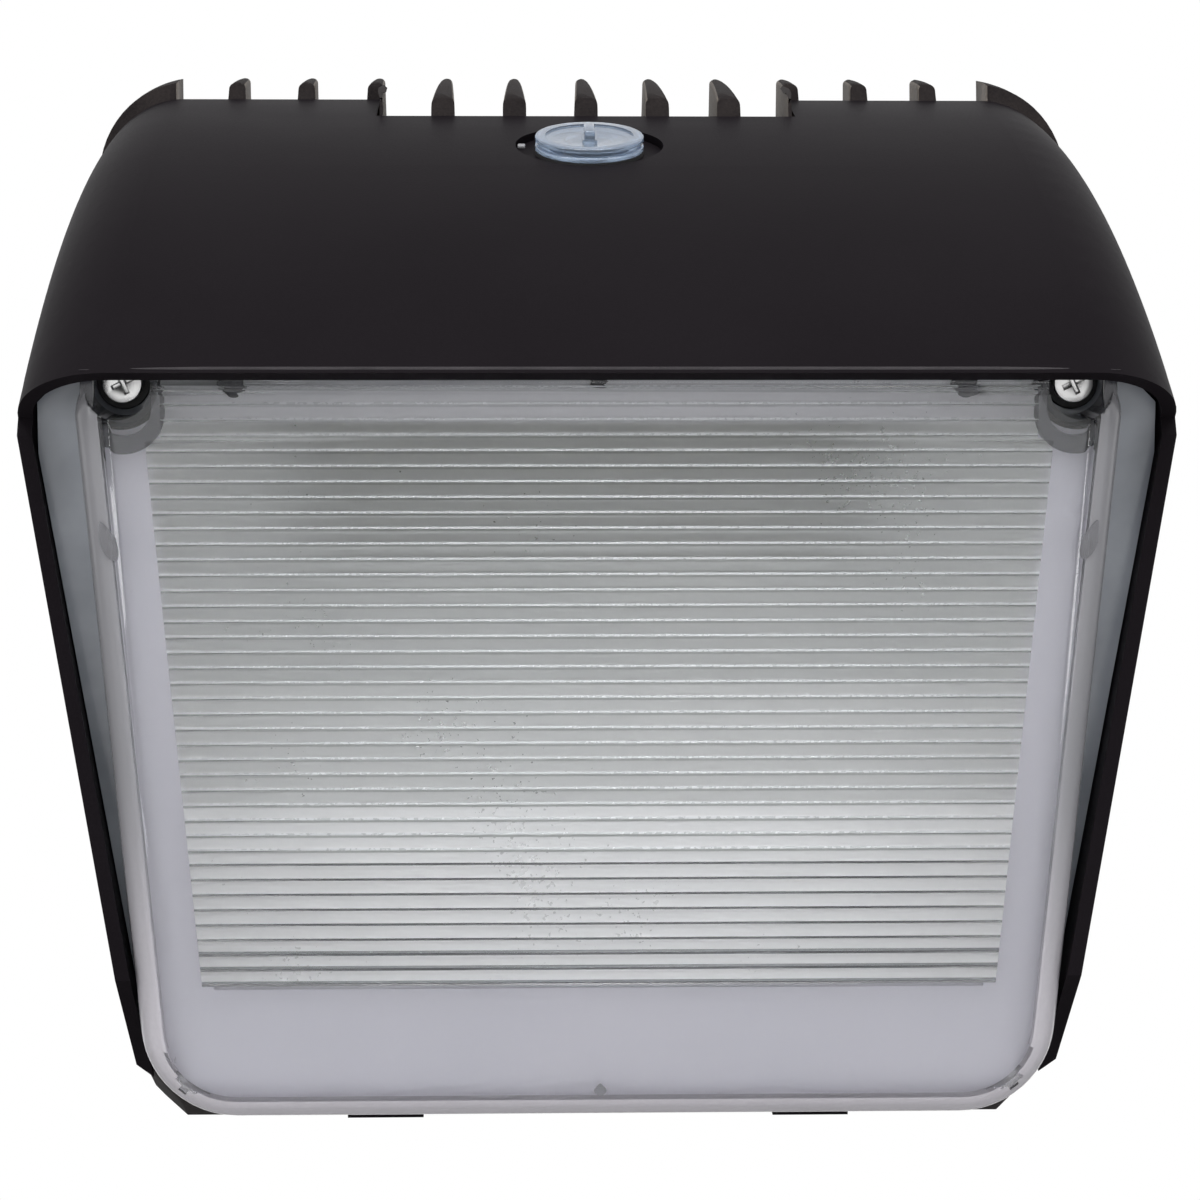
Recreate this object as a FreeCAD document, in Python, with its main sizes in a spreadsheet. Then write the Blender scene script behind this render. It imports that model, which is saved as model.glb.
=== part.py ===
import FreeCAD, Part
import math
import os

import Sketcher
from FreeCAD import Placement, Rotation, Vector

# A wall pack light: a cast hood with a ribbed lens in front of a finned rear casting,
# which swings down from a plate on the wall.
# Millimetres. X runs to the right, +Y into the wall, +Z up.
# The origin is the centre of the wall plate's box holes, on the face of the wall.

DRIVING_SIZES = [
    # the two castings
    ("body_width", 238),
    ("body_depth", 141),
    ("rim_height", 71),
    ("crown_radius", 400),
    ("crown_start_angle", 60),
    ("crown_side_lean", 0.3),
    ("side_taper", 10.5),
    ("corner_radius", 20),
    ("cast_wall", 3),
    ("wall_gap", 3.3),
    ("housing_depth", 42.7),
    ("housing_drop", 50.5),
    ("deck_thickness", 4),
    ("deck_top", 160),
    ("compartment_floor", -47),
    ("compartment_roof", 51),
    ("foot_forward", 75),
    ("foot_height", -36),
    ("lip_reach", 22),
    ("crown_overhang", 24),
    ("overhang_height", 120),
    ("notch_width", 100),
    ("foot_corner", 9.8),
    ("rear_foot_corner", 8),
    # fins
    ("fin_count", 13),
    ("fin_pitch", 17.1),
    ("fin_thickness", 5.6),
    ("fin_tip", 2.8),
    ("fin_shoulder", 184),
    ("fin_rise", 3.6),
    # lens and its seat, in a plane that leans forward at the top
    ("lens_lip_setback", 28.17),
    ("lens_foot_forward", 46.1),
    ("lens_foot_drop", 54.5),
    ("lens_top_reach", 14.9),
    ("lens_bottom_inset", 25.4),
    ("lens_top_inset", 11.6),
    ("lens_height", 18),
    ("lens_wall", 2.5),
    ("lens_corner_radius", 20),
    ("lens_top_radius", 11),
    ("lens_edge_radius", 6),
    ("flange_corner", 10),
    ("rib_pitch", 3.16),
    ("rib_height", 1.1),
    ("rib_margin", 14),
    ("rib_first", 30),
    ("pocket_radius", 8.2),
    ("pocket_wall", 1.4),
    ("pocket_floor", 3),
    ("pocket_inset", 9.6),
    ("lens_gasket_thickness", 1.6),
    ("lens_gasket_width", 6),
    ("seat_thickness", 3),
    ("seat_width", 10),
    ("tab_spacing", 90),
    ("tab_width", 16),
    ("tab_reach", 1.5),
    # fasteners
    ("screw_radius", 2),
    ("screw_hole_clearance", 0.25),
    ("head_radius", 4),
    ("head_height", 2.6),
    ("washer_radius", 5.5),
    ("washer_thickness", 2),
    ("boss_radius", 4.6),
    ("small_screw_radius", 1.5),
    ("small_screw_length", 3.2),
    ("small_head_radius", 2.75),
    ("small_head_height", 1.2),
    ("lens_screw_length", 14),
    ("hood_screw_length", 11),
    ("hood_boss_length", 9),
    ("seam_gasket_thickness", 1),
    ("seam_gasket_width", 6),
    # photocell
    ("photocell_forward", 70),
    ("recess_radius", 17),
    ("recess_depth", 2),
    ("photocell_gasket_thickness", 0.8),
    ("photocell_boss_depth", 6),
    ("window_radius", 12.5),
    ("window_thickness", 3.3),
    ("window_groove", 0.7),
    ("window_gap", 0.1),
    ("sensor_radius", 8.9),
    ("sensor_bore", 6.5),
    ("sensor_length", 16),
    ("nut_radius", 12.5),
    ("nut_thickness", 3.5),
    ("grip_length", 8),
    ("grip_width", 2.4),
    ("grip_height", 2),
    # light engine
    ("board_width", 96),
    ("board_height", 40),
    ("board_level", 87),
    ("board_thickness", 1.6),
    ("pad_thickness", 0.8),
    ("led_size", 3),
    ("led_thickness", 0.8),
    ("led_columns", 12),
    ("led_rows", 3),
    ("led_column_pitch", 7.2),
    ("led_row_pitch", 10.5),
    ("reflector_wall", 1),
    ("reflector_margin", -1),
    ("reflector_front", 12),
    ("reflector_gap", 1),
    ("reflector_rim", 13),
    ("reflector_lift", 3),
    ("reflector_collar", 14),
    ("reflector_post_radius", 3.5),
    ("reflector_screw_offset", 10),
    ("connector_width", 4),
    ("connector_depth", 2.8),
    ("connector_height", 8),
    ("board_screw_inset", 4),
    # driver and wiring
    ("driver_width", 112),
    ("driver_height", 34),
    ("driver_depth", 22),
    ("driver_level", 27),
    ("driver_tab", 9),
    ("driver_tab_thickness", 1.5),
    ("terminal_width", 30),
    ("terminal_height", 18),
    ("terminal_depth", 15),
    ("terminal_level", -22),
    ("terminal_side", -50),
    ("terminal_well", 5),
    ("ground_boss_length", 6),
    ("ring_thickness", 0.8),
    ("wire_radius", 1),
    ("grommet_side", 78),
    ("grommet_level", 34),
    ("grommet_radius", 6),
    ("grommet_lip", 1.2),
    ("wire_forward", 54),
    ("wire_cross_level", 128),
    # wall plate
    ("plate_thickness", 2.5),
    ("plate_gap", 10),
    ("plate_top", 46),
    ("plate_bottom", -41),
    ("box_hole_spacing", 88.9),
    ("box_hole_radius", 2.6),
    ("wire_hole_radius", 17),
    ("pivot_forward", 9),
    ("pivot_drop", 45),
    ("pivot_spacing", 140),
    ("pin_radius", 2),
    ("pin_clearance", 0.1),
    ("pin_length", 16),
    ("pivot_ear_radius", 5),
    ("lug_notch_reach", 14),
    ("lug_thickness", 3),
    ("lug_radius", 4),
    ("ear_level", 30),
    ("ear_height", 20),
    ("ear_forward", 22),
    ("ear_gap", 3),
    ("latch_radius", 2.5),
    ("latch_clearance", 1.2),
    ("latch_length", 9),
    ("latch_boss_radius", 6),
    ("latch_head_radius", 4.6),
    ("latch_head_height", 3),
    ("wall_gasket_width", 3.2),
    ("vent_radius", 6),
    ("vent_side", 60),
    ("vent_forward", 25),
    ("vent_cap_height", 2),
]

doc = FreeCAD.newDocument("wall_pack_light")
sheet = doc.addObject("Spreadsheet::Sheet", "dims")
for row, (alias, value) in enumerate(DRIVING_SIZES, start=1):
    sheet.set(f"A{row}", alias)
    sheet.set(f"B{row}", str(value))
    sheet.setAlias(f"B{row}", alias)
doc.recompute()


class Size:
    """A number together with the spreadsheet formula that gives it."""

    def __init__(self, number, formula):
        self.number = float(number)
        self.formula = formula

    def _join(self, other, sign, number):
        other = as_size(other)
        return Size(number(self.number, other.number), f"({self.formula} {sign} {other.formula})")

    def __add__(self, other):
        return self._join(other, "+", lambda a, b: a + b)

    def __sub__(self, other):
        return self._join(other, "-", lambda a, b: a - b)

    def __mul__(self, other):
        return self._join(other, "*", lambda a, b: a * b)

    def __truediv__(self, other):
        return self._join(other, "/", lambda a, b: a / b)

    def __radd__(self, other):
        return as_size(other) + self

    def __rsub__(self, other):
        return as_size(other) - self

    def __rmul__(self, other):
        return as_size(other) * self

    def __neg__(self):
        return Size(-self.number, f"(-1 * {self.formula})")


def as_size(value):
    if isinstance(value, Size):
        return value
    return Size(value, f"({float(value):g})")


def size(alias):
    return Size(sheet.get(alias), f"dims.{alias}")


def sine(angle):
    angle = as_size(angle)
    return Size(math.sin(math.radians(angle.number)), f"sin({angle.formula})")


def cosine(angle):
    angle = as_size(angle)
    return Size(math.cos(math.radians(angle.number)), f"cos({angle.formula})")


def tangent(angle):
    angle = as_size(angle)
    return Size(math.tan(math.radians(angle.number)), f"tan({angle.formula})")


def root(value):
    return Size(math.sqrt(value.number), f"sqrt({value.formula})")


def arc_sine(value):
    return Size(math.degrees(math.asin(value.number)), f"asin({value.formula})")


def arc_tangent(value):
    return Size(math.degrees(math.atan(value.number)), f"(atan({value.formula}) / 1deg)")


# ---- builders ------------------------------------------------------------------------

def bind(obj, prop, value):
    obj.setExpression(prop, as_size(value).formula)


def place(obj, x=0, y=0, z=0):
    bind(obj, "Placement.Base.x", x)
    bind(obj, "Placement.Base.y", y)
    bind(obj, "Placement.Base.z", z)
    return obj


def box(name, low, high):
    """A box between two corners."""
    obj = doc.addObject("Part::Box", name)
    for prop, start, end in zip(("Length", "Width", "Height"), low, high):
        bind(obj, prop, as_size(end) - as_size(start))
    return place(obj, *low)


AXIS_TURNS = {
    "x": Rotation(Vector(0, 1, 0), 90),
    "y": Rotation(Vector(1, 0, 0), -90),
    "z": Rotation(),
}


def rod(name, radius, start, length, axis="z"):
    """A cylinder that runs from start along one axis."""
    obj = doc.addObject("Part::Cylinder", name)
    obj.Placement = Placement(Vector(), AXIS_TURNS[axis])
    bind(obj, "Radius", radius)
    bind(obj, "Height", length)
    return place(obj, *start)


def fuse(name, pieces):
    obj = doc.addObject("Part::MultiFuse", name)
    obj.Shapes = pieces
    return obj


def cut(name, base, tools):
    obj = doc.addObject("Part::Cut", name)
    obj.Base = base
    obj.Tool = tools[0] if len(tools) == 1 else fuse(name + "_tools", tools)
    return obj


def common(name, first, second):
    obj = doc.addObject("Part::Common", name)
    obj.Base = first
    obj.Tool = second
    return obj


def group(name, pieces):
    obj = doc.addObject("Part::Compound", name)
    obj.Links = pieces
    return obj


def plane_of(body, role):
    return next(item for item in body.Origin.OriginFeatures if item.Role == role)


def sketch_on(body, role, name):
    sketch = body.newObject("Sketcher::SketchObject", name)
    sketch.AttachmentSupport = (plane_of(body, role), [""])
    sketch.MapMode = "FlatFace"
    return sketch


def draw_outline(sketch, points, arc=None):
    """A closed outline of lines; an arc (radius, centre) may close it from the last point to the first."""
    corners = [Vector(as_size(x).number, as_size(y).number, 0) for x, y in points]
    count = len(points)
    first = len(sketch.Geometry)
    for index, (start, end) in enumerate(zip(corners, corners[1:] + corners[:1])):
        if arc and index == count - 1:
            centre = Vector(arc[1].number, arc[2].number, 0)
            circle = Part.Circle(centre, Vector(0, 0, 1), arc[0].number)
            turns = [math.atan2(point.y - centre.y, point.x - centre.x) for point in (end, start)]
            sketch.addGeometry(Part.ArcOfCircle(circle, *turns))
        else:
            sketch.addGeometry(Part.LineSegment(start, end))
    ends = [(1, 2)] * (count - 1) + [(2, 1) if arc else (1, 2)]
    for index in range(count):
        following = (index + 1) % count
        sketch.addConstraint(Sketcher.Constraint(
            "Coincident", first + index, ends[index][1], first + following, ends[following][0]))
    marks = []
    for index, (x, y) in enumerate(points):
        spot = (first + index, ends[index][0])
        marks.append(("DistanceX", *spot, x))
        if not arc or 0 < index < count - 1:
            marks.append(("DistanceY", *spot, y))
    if arc:
        marks += [("DistanceX", first + count - 1, 3, arc[1]), ("DistanceY", first + count - 1, 3, arc[2])]
        bind(sketch, f"Constraints[{add_radius(sketch, first + count - 1, arc[0])}]", arc[0])
    for kind, piece, spot, value in marks:
        number = as_size(value).number
        mark = sketch.addConstraint(Sketcher.Constraint(kind, -1, 1, piece, spot, number))
        bind(sketch, f"Constraints[{mark}]", value)
    return sketch


def add_radius(sketch, piece, value):
    return sketch.addConstraint(Sketcher.Constraint("Radius", piece, value.number))


def prism(body, role, name, points, length, both_ways=True):
    """Pads an outline by a length, from its plane or to both sides of it."""
    sketch = draw_outline(sketch_on(body, role, name + "_outline"), points)
    pad = body.newObject("PartDesign::Pad", name)
    pad.Profile = sketch
    pad.SideType = "Symmetric" if both_ways else "One side"
    bind(pad, "Length", length)
    return pad


def new_body(name):
    return doc.addObject("PartDesign::Body", name)


def free_shape(name, shape):
    obj = doc.addObject("Part::Feature", name)
    obj.Shape = shape
    return obj


REACH = 400         # half length of a cutting prism, longer than the light
CLEAR = 30          # how far a cutting tool runs past the casting
CUT = 0.5           # how far a cutting tool runs past a thin wall
LENS_PLAY = 0.6     # play between the lens flange and the hood's inner sides
HOOK_GAP = 0.3      # play between a lens tab and its hook
HOOK_LIP = 1.2      # thickness of the hook's lip over the tab
HOOK_WALL = 1.5     # thickness of the hook below the tab
BOSS_SINK = 1       # how deep a screw boss is cast into its wall
BOSS_INSET = 22     # height of the hood bosses from the deck's top and the side's foot
BULKHEAD_LAP = 10   # how far the hood's bulkhead laps the deck
EDGE_STEP = 4       # drop of the side walls' front edges at the rim
RECESS_SINK = 1     # how far the photocell boss stays under the crown
SPIGOT_LENGTH = 4   # length of the window's spigot in the sensor
BAND_GAP = 0.7      # gap between the crown overhang and the rear casting
LUG_PLAY = 0.8      # play beside the pivot lugs
EAR_WALL = 6        # thickness of the pivot ears
EDGE_INSET = 0.5    # how far the flat seals stay inside the castings' edges
LATCH_SINK = 0.8    # depth of the spot faces under the latch screws' heads
WIRE_BEND = 0.45    # share of a wire's shorter straight run that its bend takes
WIRE_DROP = 12      # length of the wires' short runs
WIRE_PITCH = 2.6    # distance between wires side by side, in wire radii
VENT_STEP = 2       # how far the vent plug's cap stands out past its stem
TERMINALS = 3       # clamps in the terminal block
LONG_EDGE = 20      # shortest length of an edge that runs along the crown
EDGE_ZONE = 10      # how near to the side such an edge lies
WIRE_SLACK = 6      # how far a wire swings out of its line
SIDES = (("left", -1), ("right", 1))


# ---- shared places -------------------------------------------------------------------

half_width = size("body_width") / 2
front = -size("body_depth")
rim = size("rim_height")
bend_z = rim - EDGE_STEP      # where the sides turn from leaning in to tapering
radius = size("crown_radius")
start_angle = size("crown_start_angle")
crown_y = front + radius * sine(start_angle)
crown_z = rim - radius * cosine(start_angle)
back = -size("wall_gap")
seam = back - size("housing_depth")
deck_back = seam + size("deck_thickness")
bottom = -size("housing_drop")
foot_z = size("foot_height")


def crown_height(y, inset=0):
    """Height of the crown's curve at a depth, moved in by an inset."""
    reach = radius - inset
    across = as_size(y) - crown_y
    return crown_z + root(reach * reach - across * across)


def side_at(z, inset=0):
    """Half width of the castings below the rim, moved in by an inset."""
    return half_width - as_size(inset) - (bend_z - as_size(z)) * tangent(size("side_taper"))


crest = crown_height(back) + CLEAR
side_lean = (crest - bend_z) * tangent(size("crown_side_lean"))


def front_view(inset, low):
    """The castings seen from the front: widest at the rim, tapered below it."""
    wide = half_width - inset
    return [(-wide, bend_z), (side_lean - wide, crest), (wide - side_lean, crest), (wide, bend_z),
            (side_at(low, inset), low), (-side_at(low, inset), low)]


def beside(inset, low, sign):
    """What lies outside the castings' side, seen from the front."""
    wide = half_width - inset
    return [(side_at(low, inset) * sign, low), (wide * sign, bend_z), ((wide - side_lean) * sign, crest),
            (half_width * sign * 2, crest), (half_width * sign * 2, low)]


def crown_body(name, inset, rise, rear, front_y, low_points):
    """The castings' outer form, moved in by an inset: crown curve, tapered sides, round edges."""
    body = new_body(name)
    inset = as_size(inset)
    lift = inset - rise
    profile = [(rear, crown_height(rear, lift)), *low_points, (front_y, crown_height(front_y, lift))]
    crown_arc = (radius - lift, crown_y, crown_z)
    sketch = draw_outline(sketch_on(body, "YZ_Plane", name + "_profile"), profile, crown_arc)
    pad = body.newObject("PartDesign::Pad", name + "_pad")
    pad.Profile = sketch
    pad.SideType = "Symmetric"
    bind(pad, "Length", half_width * 2)
    sides = sketch_on(body, "XZ_Plane", name + "_sides")
    for sign in (-1, 1):
        draw_outline(sides, beside(inset, bottom - CLEAR * 2, sign))
    pocket = body.newObject("PartDesign::Pocket", name + "_taper")
    pocket.Profile = sides
    pocket.SideType = "Symmetric"
    bind(pocket, "Length", REACH * 2)
    doc.recompute()
    wide = (half_width - inset).number
    edges = []
    for number, edge in enumerate(pocket.Shape.Edges, start=1):
        middle = edge.valueAt((edge.FirstParameter + edge.LastParameter) / 2)
        reach = math.hypot(middle.y - crown_y.number, middle.z - crown_z.number)
        on_crown = abs(reach - (radius - lift).number) < 0.01
        if on_crown and abs(middle.x) > wide - EDGE_ZONE and edge.Length > LONG_EDGE:
            edges.append(f"Edge{number}")
    round_edges(body, name + "_edges", pocket, edges, size("corner_radius") - inset)
    return body


def crown_core(name, inset):
    """The room inside the castings' outer form, open below and behind."""
    front_y = front + as_size(inset) / sine(start_angle)
    return crown_body(name, inset, 0, back, front_y, [(back, bottom - CLEAR), (front_y, bottom - CLEAR)])


# ---- the lens plane: X across, Y up the lens, Z out of it ------------------------------

foot_y = -size("lens_foot_forward")
foot_low = -size("lens_foot_drop")
tilt = arc_tangent((foot_y - front - size("lens_lip_setback")) / (rim - foot_low))


def from_lens(up, out):
    """Depth and height of a point in the lens plane."""
    up, out = as_size(up), as_size(out)
    return (foot_y - up * sine(tilt) - out * cosine(tilt),
            foot_low + up * cosine(tilt) - out * sine(tilt))


def lean(obj):
    """Stands an object that is modelled in the lens plane in its place."""
    obj.Placement = Placement(Vector(), Rotation(Vector(1, 0, 0), 90 + tilt.number))
    bind(obj, "Placement.Rotation.Angle", 90 + tilt)
    bind(obj, "Placement.Base.y", foot_y)
    bind(obj, "Placement.Base.z", foot_low)
    return obj


lens_length = (rim - foot_low) / cosine(tilt) + size("lens_top_reach")
lens_height = size("lens_height")
lens_wall = size("lens_wall")
flange_bend = (bend_z - foot_low) / cosine(tilt)
gasket_thickness = size("lens_gasket_thickness")
seat_thickness = size("seat_thickness")


def lens_side(up, inset=0):
    """Half width of the lens tray at a place along it."""
    low, high = half_width - size("lens_bottom_inset"), half_width - size("lens_top_inset")
    return low + (high - low) * as_size(up) / lens_length - as_size(inset)


def flange_side(up, inset=0):
    """Half width of the lens flange, which follows the hood's inner sides."""
    y, z = from_lens(up, 0)
    return side_at(z, size("cast_wall") + LENS_PLAY + inset)


def tray_outline(low, high, inset):
    return [(-lens_side(low, inset), low), (lens_side(low, inset), low),
            (lens_side(high, inset), high), (-lens_side(high, inset), high)]


def flange_outline(inset, beyond=1):
    low, high = as_size(inset), lens_length + beyond - inset
    top_side = flange_side(flange_bend, inset)
    corner = size("flange_corner")
    half = [*foot_corner(low, inset), (top_side, flange_bend), (top_side, high - corner),
            (top_side - corner, high)]
    return half + [(-x, up) for x, up in reversed(half)]


def foot_corner(low, inset):
    """The chamfered low corner of the lens flange and what lies behind it, moved in by an inset."""
    turn = size("foot_corner") + as_size(inset) / 2
    side = flange_side(turn, inset)
    return [(side - turn + low, low), (side, turn)]


def corner_wedge(name, role, side, level, length, both_ways):
    """A cutter below a chamfer that leaves an upright side at a level, to be used on both sides."""
    halves = []
    for name_end, sign in SIDES:
        body = new_body(f"{name}_{name_end}")
        points = [((side + CLEAR) * sign, level + CLEAR), ((side - CLEAR) * sign, level - CLEAR),
                  ((side + CLEAR) * sign, level - CLEAR)]
        body.Tip = prism(body, role, f"{name}_{name_end}_pad", points, length, both_ways)
        halves.append(body)
    return group(name, halves)


def slab(name, outline, start, thickness):
    """A plate in the lens plane, between two heights out of it."""
    body = new_body(name)
    pad = prism(body, "XY_Plane", name + "_pad", outline, thickness, both_ways=False)
    body.Tip = pad
    return place(body, 0, 0, start)


def ring_slab(name, inset, width, start, thickness):
    outer = slab(name + "_outer", flange_outline(inset), start, thickness)
    inner = slab(name + "_inner", flange_outline(as_size(inset) + width), start - CUT, thickness + CUT * 2)
    return cut(name, outer, [inner])


def tray(name, inset, start, height, edge=None):
    """The lens tray's form, moved in by an inset: a tapered plate with round corners and front edges."""
    body = new_body(name)
    inset = as_size(inset)
    feature = prism(body, "XY_Plane", name + "_pad", tray_outline(inset, lens_length - inset, inset),
                    height, both_ways=False)
    middle = as_size(height).number / 2
    for place_name, up, corner in (("low", inset, "lens_corner_radius"),
                                   ("high", lens_length - inset, "lens_top_radius")):
        doc.recompute()
        upright = [f"Edge{number}" for number, item in enumerate(feature.Shape.Edges, start=1)
                   if abs(item.CenterOfMass.y - up.number) < 0.01
                   and abs(item.CenterOfMass.z - middle) < 0.01]
        feature = round_edges(body, f"{name}_{place_name}_corners", feature, upright, size(corner) - inset)
    if edge is not None:
        doc.recompute()
        rim_edges = [f"Edge{number}" for number, item in enumerate(feature.Shape.Edges, start=1)
                     if abs(item.BoundBox.ZMin - as_size(height).number) < 0.01]
        round_edges(body, name + "_rim", feature, rim_edges, edge)
    return place(body, 0, 0, start)


def round_edges(body, name, feature, edges, edge_radius):
    fillet = body.newObject("PartDesign::Fillet", name)
    fillet.Base = (feature, edges)
    bind(fillet, "Radius", edge_radius)
    body.Tip = fillet
    return fillet


def both_sides(make):
    """The pieces that a function makes for the left and the right side."""
    return [make("left", -1), make("right", 1)]


pocket_up = lens_length - size("pocket_inset") / 2
pocket_side = lens_side(pocket_up, size("pocket_inset"))


def make_ribs():
    """Prism ribs across the back of the lens face, cut to a tapered window."""
    pitch, height = size("rib_pitch").number, size("rib_height").number
    face = (lens_height - lens_wall).number
    first = size("rib_first").number
    count = int((lens_length.number - first) / pitch)
    points = [Vector(0, first - pitch / 2, face + height)]
    for index in range(count):
        middle = first + index * pitch
        points.append(Vector(0, middle - pitch / 2, face))
        points.append(Vector(0, middle, face - height))
    last = first + (count - 0.5) * pitch
    points += [Vector(0, last, face), Vector(0, last, face + height)]
    wide = half_width.number
    profile = Part.Face(Part.makePolygon([point - Vector(wide, 0, 0) for point in points + points[:1]]))
    teeth = profile.extrude(Vector(wide * 2, 0, 0))
    low, high = first - pitch, last + pitch
    margin = size("rib_margin")
    corners = [(x.number, y.number) for x, y in tray_outline(as_size(low), as_size(high), margin)]
    outline = [Vector(x, y, face - height * 2) for x, y in corners]
    window = Part.Face(Part.makePolygon(outline + outline[:1])).extrude(Vector(0, 0, height * 4))
    return free_shape("lens_ribs", teeth.common(window))


def make_lens():
    outer = tray("lens_tray", 0, 0, lens_height, size("lens_edge_radius"))
    core = tray("lens_core", lens_wall, -CUT, lens_height - lens_wall + CUT,
                size("lens_edge_radius") - lens_wall)
    flange = slab("lens_flange", flange_outline(0), 0, lens_wall)
    shell = cut("lens_shell", fuse("lens_blank", [outer, flange]), [core])
    pocket_top = lens_height - lens_wall
    wells = both_sides(lambda side, sign: rod(
        f"lens_well_{side}", size("pocket_radius"), (pocket_side * sign, pocket_up, 0), pocket_top))
    bores = both_sides(lambda side, sign: rod(
        f"lens_pocket_{side}", size("pocket_radius") - size("pocket_wall"),
        (pocket_side * sign, pocket_up, size("pocket_floor")), lens_height))
    holes = both_sides(lambda side, sign: rod(
        f"lens_hole_{side}", size("screw_radius") + size("screw_hole_clearance"),
        (pocket_side * sign, pocket_up, -CUT), lens_height))
    tabs = both_sides(lambda side, sign: box(
        f"lens_tab_{side}",
        (size("tab_spacing") / 2 * sign - size("tab_width") / 2, -size("tab_reach"), 0),
        (size("tab_spacing") / 2 * sign + size("tab_width") / 2, lens_wall, lens_wall)))
    posts = common("lens_posts", group("lens_wells", wells), outer)
    body = fuse("lens_body", [shell, make_ribs(), posts, *tabs])
    return lean(cut("lens", body, [*bores, *holes]))


def make_lens_fasteners():
    head_base = size("pocket_floor") + size("washer_thickness")
    length = size("lens_screw_length")
    screws = both_sides(lambda side, sign: fuse(f"lens_screw_{side}", [
        rod(f"lens_screw_head_{side}", size("head_radius"),
            (pocket_side * sign, pocket_up, head_base), size("head_height")),
        rod(f"lens_screw_shank_{side}", size("screw_radius"),
            (pocket_side * sign, pocket_up, head_base - length), length)]))
    lean(group("lens_screws", screws))
    washers = both_sides(lambda side, sign: cut(f"lens_washer_{side}", rod(
        f"lens_washer_disc_{side}", size("washer_radius"),
        (pocket_side * sign, pocket_up, size("pocket_floor")), size("washer_thickness")),
        [rod(f"lens_washer_hole_{side}", size("screw_radius"),
             (pocket_side * sign, pocket_up, 0), lens_height)]))
    lean(group("lens_washers", washers))


def make_lens_gasket():
    ring = ring_slab("lens_gasket_ring", 0, size("lens_gasket_width"), -gasket_thickness, gasket_thickness)
    holes = both_sides(lambda side, sign: rod(
        f"lens_gasket_hole_{side}", size("screw_radius") + size("screw_hole_clearance"),
        (pocket_side * sign, pocket_up, -lens_height), lens_height))
    lean(cut("lens_gasket", ring, holes))


# ---- hood ------------------------------------------------------------------------------

cast_wall = size("cast_wall")
seam_front = seam - size("seam_gasket_thickness")
overhang_y = -size("crown_overhang")
overhang_z = size("overhang_height")
seat_back = -gasket_thickness - seat_thickness
notch_side = size("notch_width") / 2
deck_top = size("deck_top")
hood_boss_level_high = deck_top - BOSS_INSET
hood_boss_level_low = foot_z + BOSS_INSET / 2


def hood_boss_side(level):
    if level.number < bend_z.number:
        return side_at(level, cast_wall) - size("boss_radius") + BOSS_SINK
    lean_in = (level - bend_z) * tangent(size("crown_side_lean"))
    return half_width - cast_wall - lean_in - size("boss_radius") - BOSS_SINK


def hood_boss_places():
    return [(f"{side}_{row}", hood_boss_side(level) * sign, level)
            for side, sign in (("left", -1), ("right", 1))
            for row, level in (("low", hood_boss_level_low), ("high", hood_boss_level_high))]


def make_seat():
    """The frame that the lens and its gasket close against, with the screw bosses."""
    plate = slab("seat_plate", flange_outline(-1, CLEAR), seat_back, seat_thickness)
    window = slab("seat_window", flange_outline(size("seat_width")), seat_back - CUT,
                  seat_thickness + CUT * 2)
    frame = cut("seat_frame", plate, [window])
    depth = size("lens_screw_length") - size("pocket_floor")
    bosses = both_sides(lambda side, sign: rod(
        f"seat_boss_{side}", size("boss_radius"),
        (pocket_side * sign, pocket_up, -depth), depth - gasket_thickness))
    tab_x = size("tab_spacing") / 2
    hook_half = size("tab_width") / 2
    reach = size("tab_reach")
    walls = both_sides(lambda side, sign: box(
        f"hook_wall_{side}", (tab_x * sign - hook_half, -reach - HOOK_GAP - HOOK_WALL, seat_back),
        (tab_x * sign + hook_half, -reach - HOOK_GAP, lens_wall + HOOK_GAP + HOOK_LIP)))
    feet = both_sides(lambda side, sign: box(
        f"hook_foot_{side}", (tab_x * sign - hook_half, -reach - HOOK_GAP - HOOK_WALL, seat_back),
        (tab_x * sign + hook_half, seat_thickness, -gasket_thickness)))
    lips = both_sides(lambda side, sign: box(
        f"hook_lip_{side}", (tab_x * sign - hook_half, -reach - HOOK_GAP, lens_wall + HOOK_GAP),
        (tab_x * sign + hook_half, -HOOK_GAP, lens_wall + HOOK_GAP + HOOK_LIP)))
    return lean(fuse("seat", [frame, *bosses, *walls, *feet, *lips]))


def turn_level(depth, out):
    """Height where an upright seam meets the slanted plane behind the lens."""
    return from_lens((foot_y - depth - as_size(out) * cosine(tilt)) / sine(tilt), out)[1]


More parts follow.
